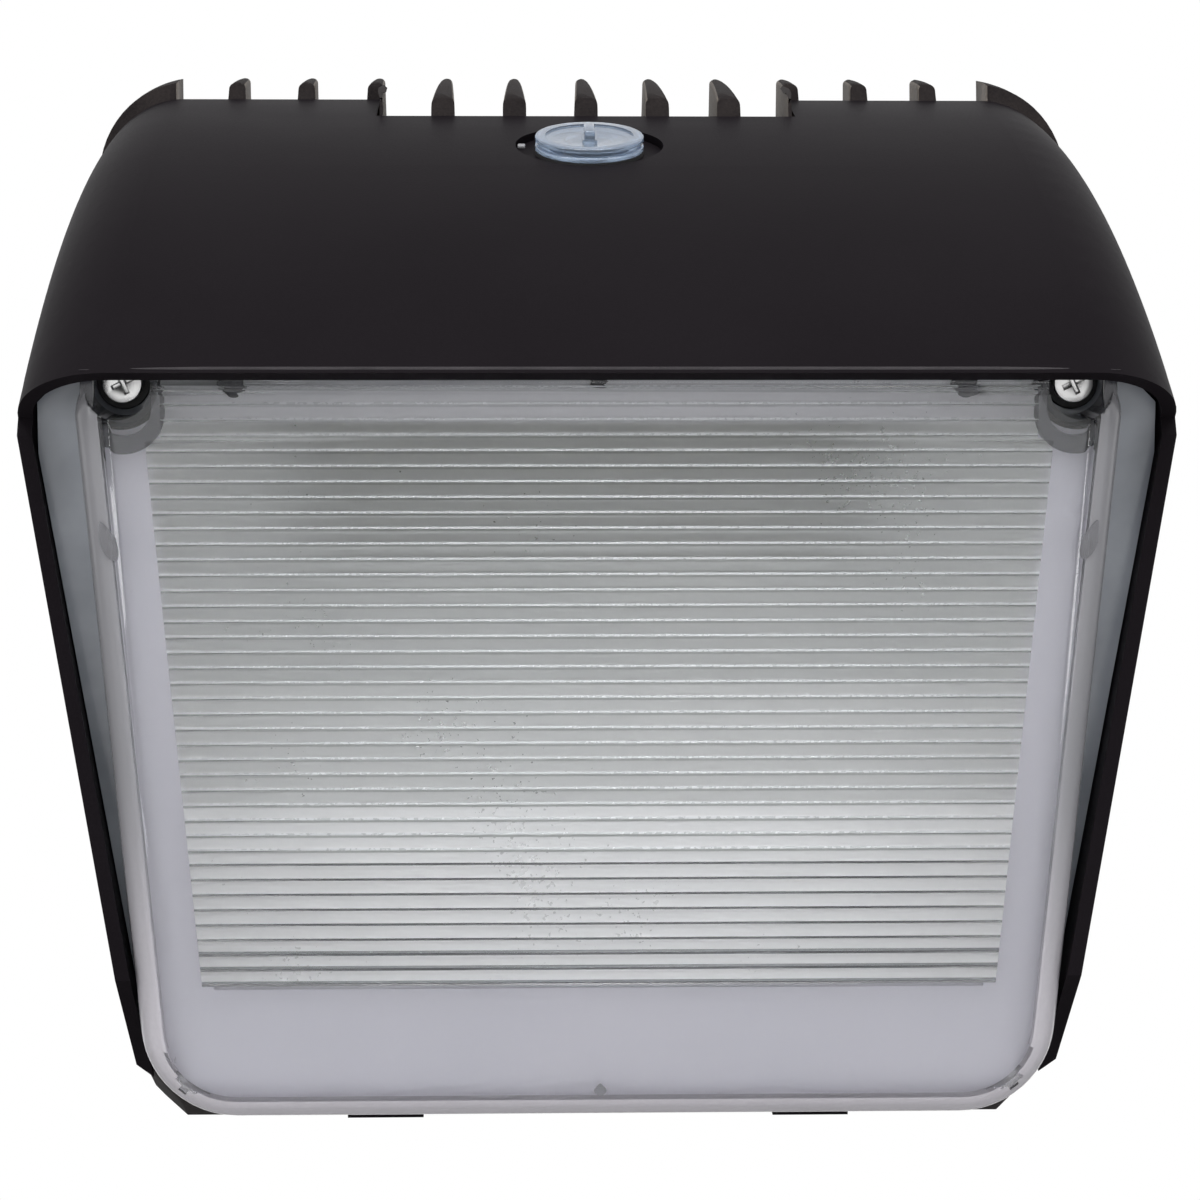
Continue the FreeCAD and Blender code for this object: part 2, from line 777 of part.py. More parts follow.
def make_hood():
    edge_y = front + size("lip_reach")
    outer = crown_body("hood_outer", 0, 0, overhang_y, front, [
        (overhang_y, overhang_z), (seam_front, overhang_z), (seam_front, turn_level(seam_front, seat_back)),
        from_lens(-1, seat_back), (-size("foot_forward"), foot_z), (edge_y, rim - EDGE_STEP), (edge_y, rim)])
    inner = crown_core("hood_inner", cast_wall)
    shell = cut("hood_shell", outer, [inner])
    closure = box("bulkhead_zone", (-half_width, seam_front - cast_wall, overhang_z - cast_wall),
                  (half_width, seam_front, crest))
    opening_side = half_width - cast_wall - size("seam_gasket_width")
    opening = box("bulkhead_opening", (-opening_side, seam_front - cast_wall - CUT, 0),
                  (opening_side, seam_front + CUT, deck_top - BULKHEAD_LAP))
    bulkhead = common("hood_bulkhead", cut("bulkhead_plate", closure, [opening]), inner)
    bosses = [rod(f"hood_boss_{name}", size("boss_radius"), (x, seam_front - size("hood_boss_length"), z),
                  size("hood_boss_length"), "y") for name, x, z in hood_boss_places()]
    seat = common("hood_seat", make_seat(), crown_core("seat_limit", cast_wall / 2))
    solid = fuse("hood_solid", [shell, bulkhead, seat, photocell_boss(), *bosses])
    notch = box("hood_notch", (-notch_side, seam_front, overhang_z),
                (notch_side, 0, crown_height(back) + CLEAR))
    pilot = size("screw_radius")
    pilots = [rod(f"hood_pilot_{name}", pilot, (x, seam_front - size("hood_screw_length"), z),
                  size("hood_screw_length") + CUT, "y") for name, x, z in hood_boss_places()]
    depth = size("lens_screw_length") - size("pocket_floor") - size("washer_thickness")
    lens_pilots = lean(group("lens_pilots", both_sides(lambda side, sign: rod(
        f"lens_pilot_{side}", pilot, (pocket_side * sign, pocket_up, -depth), lens_height))))
    outside = -cast_wall - LENS_PLAY
    corner_x, corner_up = foot_corner(0, outside)[1]
    corners = lean(corner_wedge("hood_corners", "XY_Plane", corner_x, corner_up, REACH, True))
    return cut("hood", solid, [notch, photocell_recess(), *pilots, lens_pilots, corners])


def rear_corners(name, inset):
    """The cutter for the rear casting's low corners, moved in by an inset."""
    level = bottom + size("rear_foot_corner") + as_size(inset) / 2
    return corner_wedge(name, "XZ_Plane", side_at(level, inset), level, REACH, True)


def front_prism(name, inset):
    body = new_body(name)
    pad = prism(body, "XZ_Plane", name + "_pad", front_view(as_size(inset), bottom - CLEAR), REACH * 2)
    body.Tip = pad
    return body


# ---- photocell: local Z stands out of the crown -----------------------------------------

photocell_y = -size("photocell_forward")
photocell_z = crown_height(photocell_y)
photocell_lean = arc_sine((crown_y - photocell_y) / radius)


def stand_on_crown(obj):
    """Stands an object that is modelled about the photocell's axis in its place."""
    obj.Placement = Placement(Vector(), Rotation(Vector(1, 0, 0), photocell_lean.number))
    bind(obj, "Placement.Rotation.Angle", photocell_lean)
    bind(obj, "Placement.Base.y", photocell_y)
    bind(obj, "Placement.Base.z", photocell_z)
    return obj


def photocell_boss():
    depth = size("photocell_boss_depth")
    return stand_on_crown(group("photocell_boss", [rod(
        "photocell_boss_rod", size("recess_radius") + cast_wall, (0, 0, -depth), depth - RECESS_SINK)]))


def photocell_recess():
    depth = size("recess_depth")
    return stand_on_crown(group("photocell_recess", [fuse("photocell_recess_tools", [
        rod("recess_pocket", size("recess_radius"), (0, 0, -depth), depth + CLEAR / 4),
        rod("recess_hole", size("sensor_radius") + size("screw_hole_clearance"), (0, 0, -CLEAR), CLEAR)])]))


def make_photocell():
    floor = -size("recess_depth")
    washer_top = floor + size("photocell_gasket_thickness")
    base = washer_top + size("window_gap")
    wide, thick, groove = size("window_radius"), size("window_thickness"), size("window_groove")
    spigot = size("sensor_bore") - size("window_gap")
    third = thick / 3
    window = fuse("window_body", [
        rod("window_lower_disc", wide, (0, 0, base), third),
        rod("window_neck", wide - groove, (0, 0, base), thick),
        rod("window_upper_disc", wide, (0, 0, base + third * 2), third),
        rod("window_spigot", spigot, (0, 0, base - SPIGOT_LENGTH), SPIGOT_LENGTH + third),
        box("window_grip", (-size("grip_width") / 2, -size("grip_length") / 2, base),
            (size("grip_width") / 2, size("grip_length") / 2, base + thick + size("grip_height")))])
    stand_on_crown(group("photocell_window", [window]))
    washer = cut("photocell_gasket_ring", rod("photocell_gasket_disc", wide, (0, 0, floor),
                                              size("photocell_gasket_thickness")),
                 [rod("photocell_gasket_hole", size("sensor_radius") + size("screw_hole_clearance"),
                      (0, 0, -CLEAR), CLEAR)])
    stand_on_crown(group("photocell_gasket", [washer]))
    barrel = rod("sensor_barrel", size("sensor_radius"), (0, 0, floor - size("sensor_length")),
                 size("sensor_length") + size("photocell_gasket_thickness") / 2)
    sensor = cut("sensor_body", barrel, [rod("sensor_bore_rod", size("sensor_bore"),
                                             (0, 0, floor - SPIGOT_LENGTH), CLEAR)])
    stand_on_crown(group("photocell_sensor", [sensor]))
    nut_top = -size("photocell_boss_depth")
    nut = cut("nut_ring", rod("nut_disc", size("nut_radius"), (0, 0, nut_top - size("nut_thickness")),
                              size("nut_thickness")),
              [rod("nut_bore", size("sensor_radius"), (0, 0, -CLEAR), CLEAR)])
    stand_on_crown(group("photocell_nut", [nut]))


# ---- rear casting ----------------------------------------------------------------------

fin_count = int(size("fin_count").number)
fin_pitch = size("fin_pitch")
fin_thickness = size("fin_thickness")
roof = size("compartment_roof")
floor_level = size("compartment_floor")
board_level = size("board_level")
pivot_y = -size("pivot_forward")
pivot_z = -size("pivot_drop")
fin_floor = roof + cast_wall
seam_out = seat_back - gasket_thickness
seam_low = (bottom - foot_low + seam_out * sine(tilt)) / cosine(tilt)
terminal_x = size("terminal_side")
terminal_z = size("terminal_level")
ground_x = -terminal_x
ground_seat = deck_back + size("ground_boss_length")
vent_stem_radius = size("vent_radius") - VENT_STEP
wire_step = size("wire_radius") * WIRE_PITCH


def pivot_places():
    return [("left", -size("pivot_spacing") / 2), ("right", size("pivot_spacing") / 2)]


def pivot_ears():
    """The ears in the compartment that hold the two pivot pins."""
    pieces = []
    ear_radius = size("pivot_ear_radius")
    for name, middle in pivot_places():
        for side, sign in (("outer", -1), ("inner", 1)):
            start = middle + (size("lug_thickness") / 2 + LUG_PLAY) * sign - (EAR_WALL if sign < 0 else 0)
            pieces.append(rod(f"ear_{name}_{side}", ear_radius, (start, pivot_y, pivot_z), EAR_WALL, "x"))
            pieces.append(box(f"ear_foot_{name}_{side}", (start, pivot_y - ear_radius, floor_level - CUT),
                              (start + EAR_WALL, pivot_y + ear_radius, pivot_z)))
    return pieces


def fin_gaps(name, low, depth):
    """The gaps between the fins: one drafted gap and its pattern across the casting."""
    body = new_body(name)
    middle = fin_pitch * (fin_count - 2) / -2
    half_root = (fin_pitch - size("fin_thickness")) / 2
    half_tip = (fin_pitch - size("fin_tip")) / 2
    top = crown_height(back, -size("fin_rise"))
    shoulder = size("fin_shoulder")
    points = [(middle - half_root, low), (middle + half_root, low), (middle + half_root, shoulder),
              (middle + half_tip, top), (middle + half_tip, top + CLEAR),
              (middle - half_tip, top + CLEAR), (middle - half_tip, top), (middle - half_root, shoulder)]
    pad = prism(body, "XZ_Plane", name + "_pad", points, depth * 2)
    pattern = body.newObject("PartDesign::LinearPattern", name + "_pattern")
    pattern.Originals = [pad]
    pattern.Direction = (plane_of(body, "X_Axis"), [""])
    pattern.Occurrences = fin_count - 1
    bind(pattern, "Length", fin_pitch * (fin_count - 2))
    body.Tip = pattern
    return body


def overhang_band():
    """The room that the hood's crown overhang takes beside the notch."""
    gap = as_size(BAND_GAP)
    zone = box("overhang_zone", (-half_width - CUT, seam_front - CUT, overhang_z - gap),
               (half_width + CUT, overhang_y + gap, crest))
    notch_block = box("notch_block", (gap - notch_side, seam_front - CUT, overhang_z),
                      (notch_side - gap, 0, crest))
    core = crown_core("overhang_core", cast_wall + gap)
    return cut("overhang_band", zone, [notch_block, core])


def grommet_places():
    return [("left", -size("grommet_side")), ("right", size("grommet_side"))]


def reflector_screw_places():
    side = size("board_width") / 2 + size("reflector_screw_offset")
    rise = size("board_height") / 2 - size("led_row_pitch") / 2
    return [(side * across, board_level + rise * up) for across in (-1, 1) for up in (-1, 1)]


def board_screw_places():
    side = size("board_width") / 2 - size("board_screw_inset")
    rise = size("board_height") / 2 - size("board_screw_inset")
    return [(side * across, board_level + rise * up) for across in (-1, 1) for up in (-1, 1)]


def driver_screw_places():
    side = size("driver_width") / 2 + size("driver_tab") / 2
    return [(-side, size("driver_level")), (side, size("driver_level"))]


def make_housing():
    chamfer = size("pivot_forward") + back
    low_y = from_lens(seam_low, seam_out)[0]
    block = crown_body("housing_block", 0, size("fin_rise"), back, seam, [
        (back, bottom + chamfer), (back - chamfer, bottom), (low_y, bottom),
        (seam, turn_level(seam, seam_out))])
    room = common("compartment_room", front_prism("compartment_sides", cast_wall),
                  box("compartment_zone", (-half_width, deck_back, floor_level),
                      (half_width, CLEAR, roof)))
    compartment = cut("compartment", room, [rear_corners("compartment_corners", cast_wall)])
    hollow = cut("housing_hollow", block, [
        compartment, fin_gaps("fin_gap", fin_floor, -deck_back),
        fin_gaps("fin_front_gap", deck_top, CUT - seam), overhang_band(), rear_corners("rear_corners", 0)])
    posts = [rod(f"reflector_post_{n}", size("reflector_post_radius"),
                 (x, seam - size("reflector_lift"), z), size("reflector_lift") + CUT, "y")
             for n, (x, z) in enumerate(reflector_screw_places())]
    ground_boss = rod("ground_boss", size("boss_radius"), (ground_x, deck_back - CUT, terminal_z),
                      size("ground_boss_length") + CUT, "y")
    inner_end = ear_side() + size("plate_thickness") + BOSS_SINK
    latch_bosses = [rod(f"latch_boss_{side}", size("latch_boss_radius"),
                        (-latch_face() if sign < 0 else inner_end, -latch_y(), size("ear_level")),
                        latch_face() - inner_end, "x") for side, sign in SIDES]
    solid = fuse("housing_solid", [hollow, *pivot_ears(), *posts, ground_boss, *latch_bosses])
    tools = []
    for name, middle in pivot_places():
        play = size("lug_thickness") / 2 + LUG_PLAY
        tools.append(rod(f"pin_bore_{name}", size("pin_radius"),
                         (middle - size("pin_length") / 2, pivot_y, pivot_z), size("pin_length"), "x"))
        notch_low = (middle - play, pivot_y - size("lug_notch_reach"), bottom - CUT)
        tools.append(box(f"lug_notch_{name}", notch_low, (middle + play, back + CUT, floor_level + CUT)))
    hole = size("screw_radius") + size("screw_hole_clearance")
    for name, x, z in hood_boss_places():
        tools.append(rod(f"hood_screw_hole_{name}", hole, (x, seam - CUT, z), -seam + CLEAR, "y"))
        tools.append(rod(f"hood_screw_sink_{name}", size("head_radius") + CUT, (x, deck_back, z),
                         CLEAR - deck_back, "y"))
    for name, x in grommet_places():
        start = (x, seam - CUT, size("grommet_level"))
        tools.append(rod(f"grommet_hole_{name}", size("grommet_radius"), start,
                         size("deck_thickness") + CUT * 2, "y"))
    pilot = size("small_screw_radius")
    for n, (x, z) in enumerate(reflector_screw_places()):
        tools.append(rod(f"reflector_pilot_{n}", pilot, (x, seam - size("reflector_lift") - CUT, z),
                         size("small_screw_length") + CUT, "y"))
    for n, (x, z) in enumerate(board_screw_places()):
        tools.append(rod(f"board_pilot_{n}", pilot, (x, seam - CUT, z),
                         size("small_screw_length") + CUT, "y"))
    for n, (x, z) in enumerate(driver_screw_places()):
        tools.append(rod(f"driver_pilot_{n}", pilot, (x, deck_back - size("small_screw_length"), z),
                         size("small_screw_length") + CUT, "y"))
    tools.append(rod("ground_pilot", size("screw_radius"), (ground_x, deck_back + CUT, terminal_z),
                     size("ground_boss_length"), "y"))
    tools.append(rod("vent_hole", vent_stem_radius, (size("vent_side"), -size("vent_forward"), bottom - CUT),
                     floor_level - bottom + CUT * 2))
    for name, sign in SIDES:
        x = latch_face() * sign
        start = x if sign < 0 else x - size("latch_length")
        tools.append(rod(f"latch_hole_{name}", size("latch_radius"),
                         (start, -latch_y(), size("ear_level")), size("latch_length"), "x"))
        outer = x - CLEAR if sign < 0 else x
        tools.append(rod(f"latch_face_{name}", size("latch_head_radius") + CUT,
                         (outer, -latch_y(), size("ear_level")), CLEAR, "x"))
    return cut("housing", solid, tools)


def latch_face():
    """Half width at the spot faces under the latch screws' heads."""
    return side_at(size("ear_level") - size("latch_head_radius") - CUT, LATCH_SINK)


def latch_y():
    return size("ear_forward") - size("latch_radius") * 2


def make_housing_fasteners():
    """The screws through the deck into the hood, the hinge pins and the two latch screws."""
    screws = [fuse(f"hood_screw_{name}", [
        rod(f"hood_screw_head_{name}", size("head_radius"), (x, deck_back, z), size("head_height"), "y"),
        rod(f"hood_screw_shank_{name}", size("screw_radius"), (x, deck_back - size("hood_screw_length"), z),
            size("hood_screw_length"), "y")]) for name, x, z in hood_boss_places()]
    group("hood_screws", screws)
    group("hinge_pins", [rod(f"hinge_pin_{name}", size("pin_radius"),
                             (middle - size("pin_length") / 2, pivot_y, pivot_z), size("pin_length"), "x")
                         for name, middle in pivot_places()])
    latches = []
    for name, sign in SIDES:
        x = latch_face() * sign
        start = x if sign < 0 else x - size("latch_length")
        outer = x - size("latch_head_height") if sign < 0 else x
        latches.append(fuse(f"latch_{name}", [
            rod(f"latch_head_{name}", size("latch_head_radius"), (outer, -latch_y(), size("ear_level")),
                size("latch_head_height"), "x"),
            rod(f"latch_shank_{name}", size("latch_radius"), (start, -latch_y(), size("ear_level")),
                size("latch_length"), "x")]))
    group("latch_screws", latches)


def make_seam_gasket():
    """The flat seal between hood and rear casting, all round the deck."""
    wide = size("seam_gasket_width")
    low = turn_level(seam_front, seat_back)
    outer = common("seam_gasket_outer", front_prism("seam_gasket_sides", EDGE_INSET),
                   box("seam_gasket_zone", (-half_width, seam_front, low), (half_width, seam, deck_top)))
    inner = common("seam_gasket_inner", front_prism("seam_gasket_hollow", wide),
                   box("seam_gasket_hole", (-half_width, seam_front - CUT, low - CUT),
                       (half_width, seam + CUT, deck_top - BULKHEAD_LAP)))
    hole = size("screw_radius") + size("screw_hole_clearance")
    holes = [rod(f"seam_gasket_hole_{name}", hole, (x, seam_front - CUT, z), CLEAR, "y")
             for name, x, z in hood_boss_places()]
    upright = cut("seam_gasket_upright", outer, [inner, doc.getObject("overhang_band"), *holes])
    high = (foot_y - seam_front - seat_back * cosine(tilt)) / sine(tilt)
    half = [*foot_corner(seam_low, 0), (flange_side(high), high)]
    sides = half + [(-x, up) for x, up in reversed(half)]
    strip = slab("seam_gasket_foot", sides, seam_out, seat_back - seam_out)
    fuse("seam_gasket", [upright, lean(group("seam_gasket_strip", [strip]))])


# ---- wall plate ------------------------------------------------------------------------

def make_wall_plate():
    """The plate on the wall: box holes, two hinge lugs below and a slotted ear on each side."""
    thick = size("plate_thickness")
    top, low = size("plate_top"), size("plate_bottom")
    half = side_at(low, cast_wall) - size("plate_gap")
    ear_x = ear_side()
    level, tall = size("ear_level"), size("ear_height")
    plate = box("plate_sheet", (-half, -thick, low), (half, 0, top))
    pieces = [plate]
    slots = []
    for name, sign in SIDES:
        reach_low, reach_high = (-ear_x - thick, -half + CUT) if sign < 0 else (half - CUT, ear_x + thick)
        pieces.append(box(f"plate_arm_{name}", (reach_low, -thick, level - tall / 2),
                          (reach_high, 0, level + tall / 2)))
        ear_low, ear_high = (-ear_x - thick, -ear_x) if sign < 0 else (ear_x, ear_x + thick)
        pieces.append(box(f"plate_ear_{name}", (ear_low, -size("ear_forward"), level - tall / 2),
                          (ear_high, 0, level + tall / 2)))
        slot_half = size("latch_radius") + size("latch_clearance")
        slots.append(box(f"plate_slot_{name}", (ear_low - CUT, -size("ear_forward") - CUT, level - slot_half),
                         (ear_high + CUT, -latch_y() + size("latch_radius") + size("latch_clearance"),
                          level + slot_half)))
    for name, middle in pivot_places():
        start = middle - size("lug_thickness") / 2
        end = middle + size("lug_thickness") / 2
        pieces.append(rod(f"lug_eye_{name}", size("lug_radius"), (start, pivot_y, pivot_z),
                          size("lug_thickness"), "x"))
        pieces.append(box(f"lug_arm_{name}", (start, pivot_y, pivot_z),
                          (end, 0, low + size("lug_radius") * 2)))
    holes = [rod(f"lug_hole_{name}", size("pin_radius") + size("pin_clearance"),
                 (middle - CLEAR / 2, pivot_y, pivot_z), CLEAR, "x") for name, middle in pivot_places()]
    reach = size("box_hole_spacing") / 2 * root(as_size(0.5))
    for n, (across, up) in enumerate(((-1, -1), (-1, 1), (1, -1), (1, 1))):
        holes.append(rod(f"box_hole_{n}", size("box_hole_radius"), (reach * across, -CLEAR, reach * up),
                         CLEAR * 2, "y"))
    holes.append(rod("wire_hole", size("wire_hole_radius"), (0, -CLEAR, 0), CLEAR * 2, "y"))
    cut("wall_plate", fuse("plate_blank", pieces), [*slots, *holes])


def ear_side():
    """Half width to the inner face of the wall plate's ears."""
    wall = side_at(size("ear_level") - size("ear_height") / 2, cast_wall)
    return wall - size("ear_gap") - size("plate_thickness")


def make_wall_gasket():
    """The foam seal on the wall: two sides and the top, open below for drainage."""
    wide = size("wall_gasket_width")
    outer = common("wall_gasket_outer", front_prism("wall_gasket_sides", EDGE_INSET),
                   box("wall_gasket_zone", (-half_width, back, bottom + size("pivot_forward")),
                       (half_width, 0, roof + cast_wall)))
    inner = common("wall_gasket_inner", front_prism("wall_gasket_hollow", wide),
                   box("wall_gasket_hole", (-half_width, back - CUT, bottom - CLEAR),
                       (half_width, CUT, roof)))
    cut("wall_gasket", outer, [inner])


# ---- light engine ----------------------------------------------------------------------

def centred_plate(name, wide, tall, level, near, far):
    """An upright plate between two depths."""
    return box(name, (-wide / 2, near, level - tall / 2), (wide / 2, far, level + tall / 2))


def small_screw(name, x, y, z, length, way):
    """A small screw, with its head's seat at y and its shank running the given way."""
    head = y - size("small_head_height") if way > 0 else y
    shank = y if way > 0 else y - length
    return fuse(name, [
        rod(name + "_head", size("small_head_radius"), (x, head, z), size("small_head_height"), "y"),
        rod(name + "_shank", size("small_screw_radius"), (x, shank, z), length, "y")])


def make_light_engine():
    pad_front = seam - size("pad_thickness")
    board_front = pad_front - size("board_thickness")
    wide, tall = size("board_width"), size("board_height")
    stack = size("pad_thickness") + size("board_thickness")
    for name, near, far in (("thermal_pad", pad_front, seam), ("led_board", board_front, pad_front)):
        plate = centred_plate(name + "_sheet", wide, tall, board_level, near, far)
        cut(name, plate, [rod(f"{name}_hole_{n}", size("small_screw_radius") + CUT / 2, (x, near - CUT, z),
                              stack + CUT * 2, "y") for n, (x, z) in enumerate(board_screw_places())])
    chips = []
    columns, rows = int(size("led_columns").number), int(size("led_rows").number)
    chip = size("led_size")
    for column in range(columns):
        for row in range(rows):
            x = size("led_column_pitch") * (column - (columns - 1) / 2)
            z = board_level + size("led_row_pitch") * (row - (rows - 1) / 2)
            chip_front = board_front - size("led_thickness")
            chips.append(box(f"led_{column}_{row}", (x - chip / 2, chip_front, z - chip / 2),
                             (x + chip / 2, board_front, z + chip / 2)))
    group("led_chips", chips)
    group("led_board_screws", [small_screw(f"board_screw_{n}", x, board_front, z,
                                           size("small_screw_length") + stack, 1)
                               for n, (x, z) in enumerate(board_screw_places())])
    box("board_connector",
        (wide / 2, seam - size("connector_depth"), board_level - size("connector_height") / 2),
        (wide / 2 + size("connector_width"), seam, board_level + size("connector_height") / 2))


def solid_between(small, large):
    """A solid through two four-cornered outlines."""
    rings = [Part.makePolygon(outline + outline[:1]) for outline in (small, large)]
    return Part.makeLoft(rings, True, True)


def make_reflector():
    """A white tray: a frame behind the lens border and four walls that close in on the board."""
    thick = size("reflector_wall")
    gap = size("reflector_gap")
    out = size("reflector_front")
    inset = lens_wall + gap
    frame = tray("reflector_frame", inset, out - thick, thick)
    mouth = tray_outline(size("rib_first") - size("rib_pitch"), lens_length - size("reflector_rim"),
                         size("rib_margin") + gap * 2)
    window = slab("reflector_window", mouth, out - thick - CUT, thick + CUT * 2)
    wells = both_sides(lambda side, sign: rod(
        f"reflector_well_{side}", size("pocket_radius") + gap,
        (pocket_side * sign, pocket_up, 0), lens_height))
    front_frame = lean(cut("reflector_front", frame, [window, *wells]))
    side = size("board_width") / 2 + size("reflector_margin")
    rise = size("board_height") / 2 + size("reflector_margin")
    depth = seam - size("reflector_lift") - thick / 2
    throat = [(-side, board_level - rise), (side, board_level - rise), (side, board_level + rise),
              (-side, board_level + rise)]

    def corners(grow):
        small = [Vector((x + grow * sx).number, depth.number, (z + grow * sz).number)
                 for (x, z), (sx, sz) in zip(throat, ((-1, -1), (1, -1), (1, 1), (-1, 1)))]
        large = []
        for (x, up), (sx, sz) in zip(mouth, ((-1, -1), (1, -1), (1, 1), (-1, 1))):
            y, z = from_lens(up + grow * sz, out - thick / 2)
            large.append(Vector((x + grow * sx).number, y.number, z.number))
        return small, large

    outside, inside = solid_between(*corners(thick)), solid_between(*corners(as_size(0)))
    funnel = free_shape("reflector_funnel", outside.cut(inside))
    collar = size("reflector_collar")
    collar_back = seam - size("reflector_lift")
    sheet_plate = centred_plate("reflector_collar_plate", (side + collar) * 2, (rise + collar) * 2,
                                board_level, collar_back - thick, collar_back)
    opening = centred_plate("reflector_collar_hole", side * 2, rise * 2, board_level, front, deck_back)
    hole = size("small_screw_radius") + CUT / 2
    screw_holes = [rod(f"reflector_hole_{n}", hole, (x, front, z), -front, "y")
                   for n, (x, z) in enumerate(reflector_screw_places())]
    rear_collar = cut("reflector_rear", sheet_plate, [opening, *screw_holes])
    fuse("reflector", [front_frame, funnel, rear_collar])
    group("reflector_screws", [small_screw(
        f"reflector_screw_{n}", x, collar_back - thick, z, size("small_screw_length"), 1)
        for n, (x, z) in enumerate(reflector_screw_places())])


# ---- driver and wiring -----------------------------------------------------------------

def make_driver():
    wide, tall, deep = size("driver_width"), size("driver_height"), size("driver_depth")
    level, tab = size("driver_level"), size("driver_tab")
    case = centred_plate("driver_case", wide, tall, level, deck_back, deck_back + deep)
    tabs = centred_plate("driver_tabs", wide + tab * 2, tall / 2, level, deck_back,
                         deck_back + size("driver_tab_thickness"))
    hole = size("small_screw_radius") + CUT / 2
    holes = [rod(f"driver_hole_{n}", hole, (x, deck_back - CUT, z), CLEAR, "y")
             for n, (x, z) in enumerate(driver_screw_places())]
    cut("driver", fuse("driver_blank", [case, tabs]), holes)
    tab_back = deck_back + size("driver_tab_thickness")
    length = size("small_screw_length") + size("driver_tab_thickness")
    group("driver_screws", [small_screw(f"driver_screw_{n}", x, tab_back, z, length, -1)
                            for n, (x, z) in enumerate(driver_screw_places())])


def make_terminals():
    """The terminal block with its clamp screws, and the earth screw on its boss."""
    wide, tall = size("terminal_width"), size("terminal_height")
    face = deck_back + size("terminal_depth")
    well = size("terminal_well")
    block = box("terminal_body", (terminal_x - wide / 2, deck_back, terminal_z - tall / 2),
                (terminal_x + wide / 2, face, terminal_z + tall / 2))
    wells, screws = [], []
    for n in range(TERMINALS):
        middle = terminal_x + wide / TERMINALS * (n - (TERMINALS - 1) / 2)
        start = (middle, face - well, terminal_z)
        wells.append(rod(f"terminal_well_{n}", size("screw_radius"), start, well + CUT, "y"))
        screws.append(rod(f"terminal_screw_{n}", size("screw_radius"), start, well / 2, "y"))
    cut("terminal_block", block, wells)
    group("terminal_screws", screws)
    fuse("ground_screw", [
        rod("ground_head", size("head_radius"), (ground_x, ground_seat + size("ring_thickness"), terminal_z),
            size("head_height"), "y"),
        rod("ground_shank", size("screw_radius"), (ground_x, deck_back + CUT, terminal_z),
            ground_seat - deck_back + size("ring_thickness"), "y")])


def make_grommets():
    """The rubber rings for the wires in the deck, and the vent plug in the floor."""
    rings = []
    lip = size("grommet_lip")
    for name, x in grommet_places():
        level, thick = size("grommet_level"), size("deck_thickness")
        body = fuse(f"grommet_body_{name}", [
            rod(f"grommet_core_{name}", size("grommet_radius"), (x, seam - lip, level), thick + lip * 2, "y"),
            rod(f"grommet_front_{name}", size("grommet_radius") + lip, (x, seam - lip, level), lip, "y"),
            rod(f"grommet_rear_{name}", size("grommet_radius") + lip, (x, deck_back, level), lip, "y")])
        rings.append(cut(f"grommet_{name}", body, [rod(
            f"grommet_bore_{name}", size("grommet_radius") - lip, (x, seam - CLEAR, level), CLEAR * 2, "y")]))
    group("wire_grommets", rings)
    x, y = size("vent_side"), -size("vent_forward")
    fuse("vent_plug", [
        rod("vent_cap", size("vent_radius"), (x, y, bottom - size("vent_cap_height")),
            size("vent_cap_height")),
        rod("vent_stem", vent_stem_radius, (x, y, bottom - CUT), floor_level - bottom + CUT)])


def wire(points, wire_radius):
    """A round wire along straight runs joined by tangent arcs."""
    corners = [Vector(*[as_size(value).number for value in point]) for point in points]
    edges, start = [], corners[0]
    for before, corner, after in zip(corners, corners[1:], corners[2:]):
        to_before, to_after = before - corner, after - corner
        back_step = min(to_before.Length, to_after.Length) * WIRE_BEND
        enter = corner + to_before.normalize() * back_step
        leave = corner + to_after.normalize() * back_step
        angle = to_before.getAngle(to_after)
        bend = back_step * math.tan(angle / 2)
        bisector = (to_before + to_after).normalize()
        middle = corner + bisector * (math.hypot(back_step, bend) - bend)
        edges += [Part.makeLine(start, enter), Part.Arc(enter, middle, leave).toShape()]
        start = leave
    edges.append(Part.makeLine(start, corners[-1]))
    path = Part.Wire(edges)
    first = corners[1] - corners[0]
    ring = Part.Wire(Part.makeCircle(wire_radius.number, corners[0], first))
    return path.makePipeShell([ring], True, True)


def spread(count):
    """Sideways places of wires that run side by side."""
    return [wire_step * (n - (count - 1) / 2) for n in range(count)]


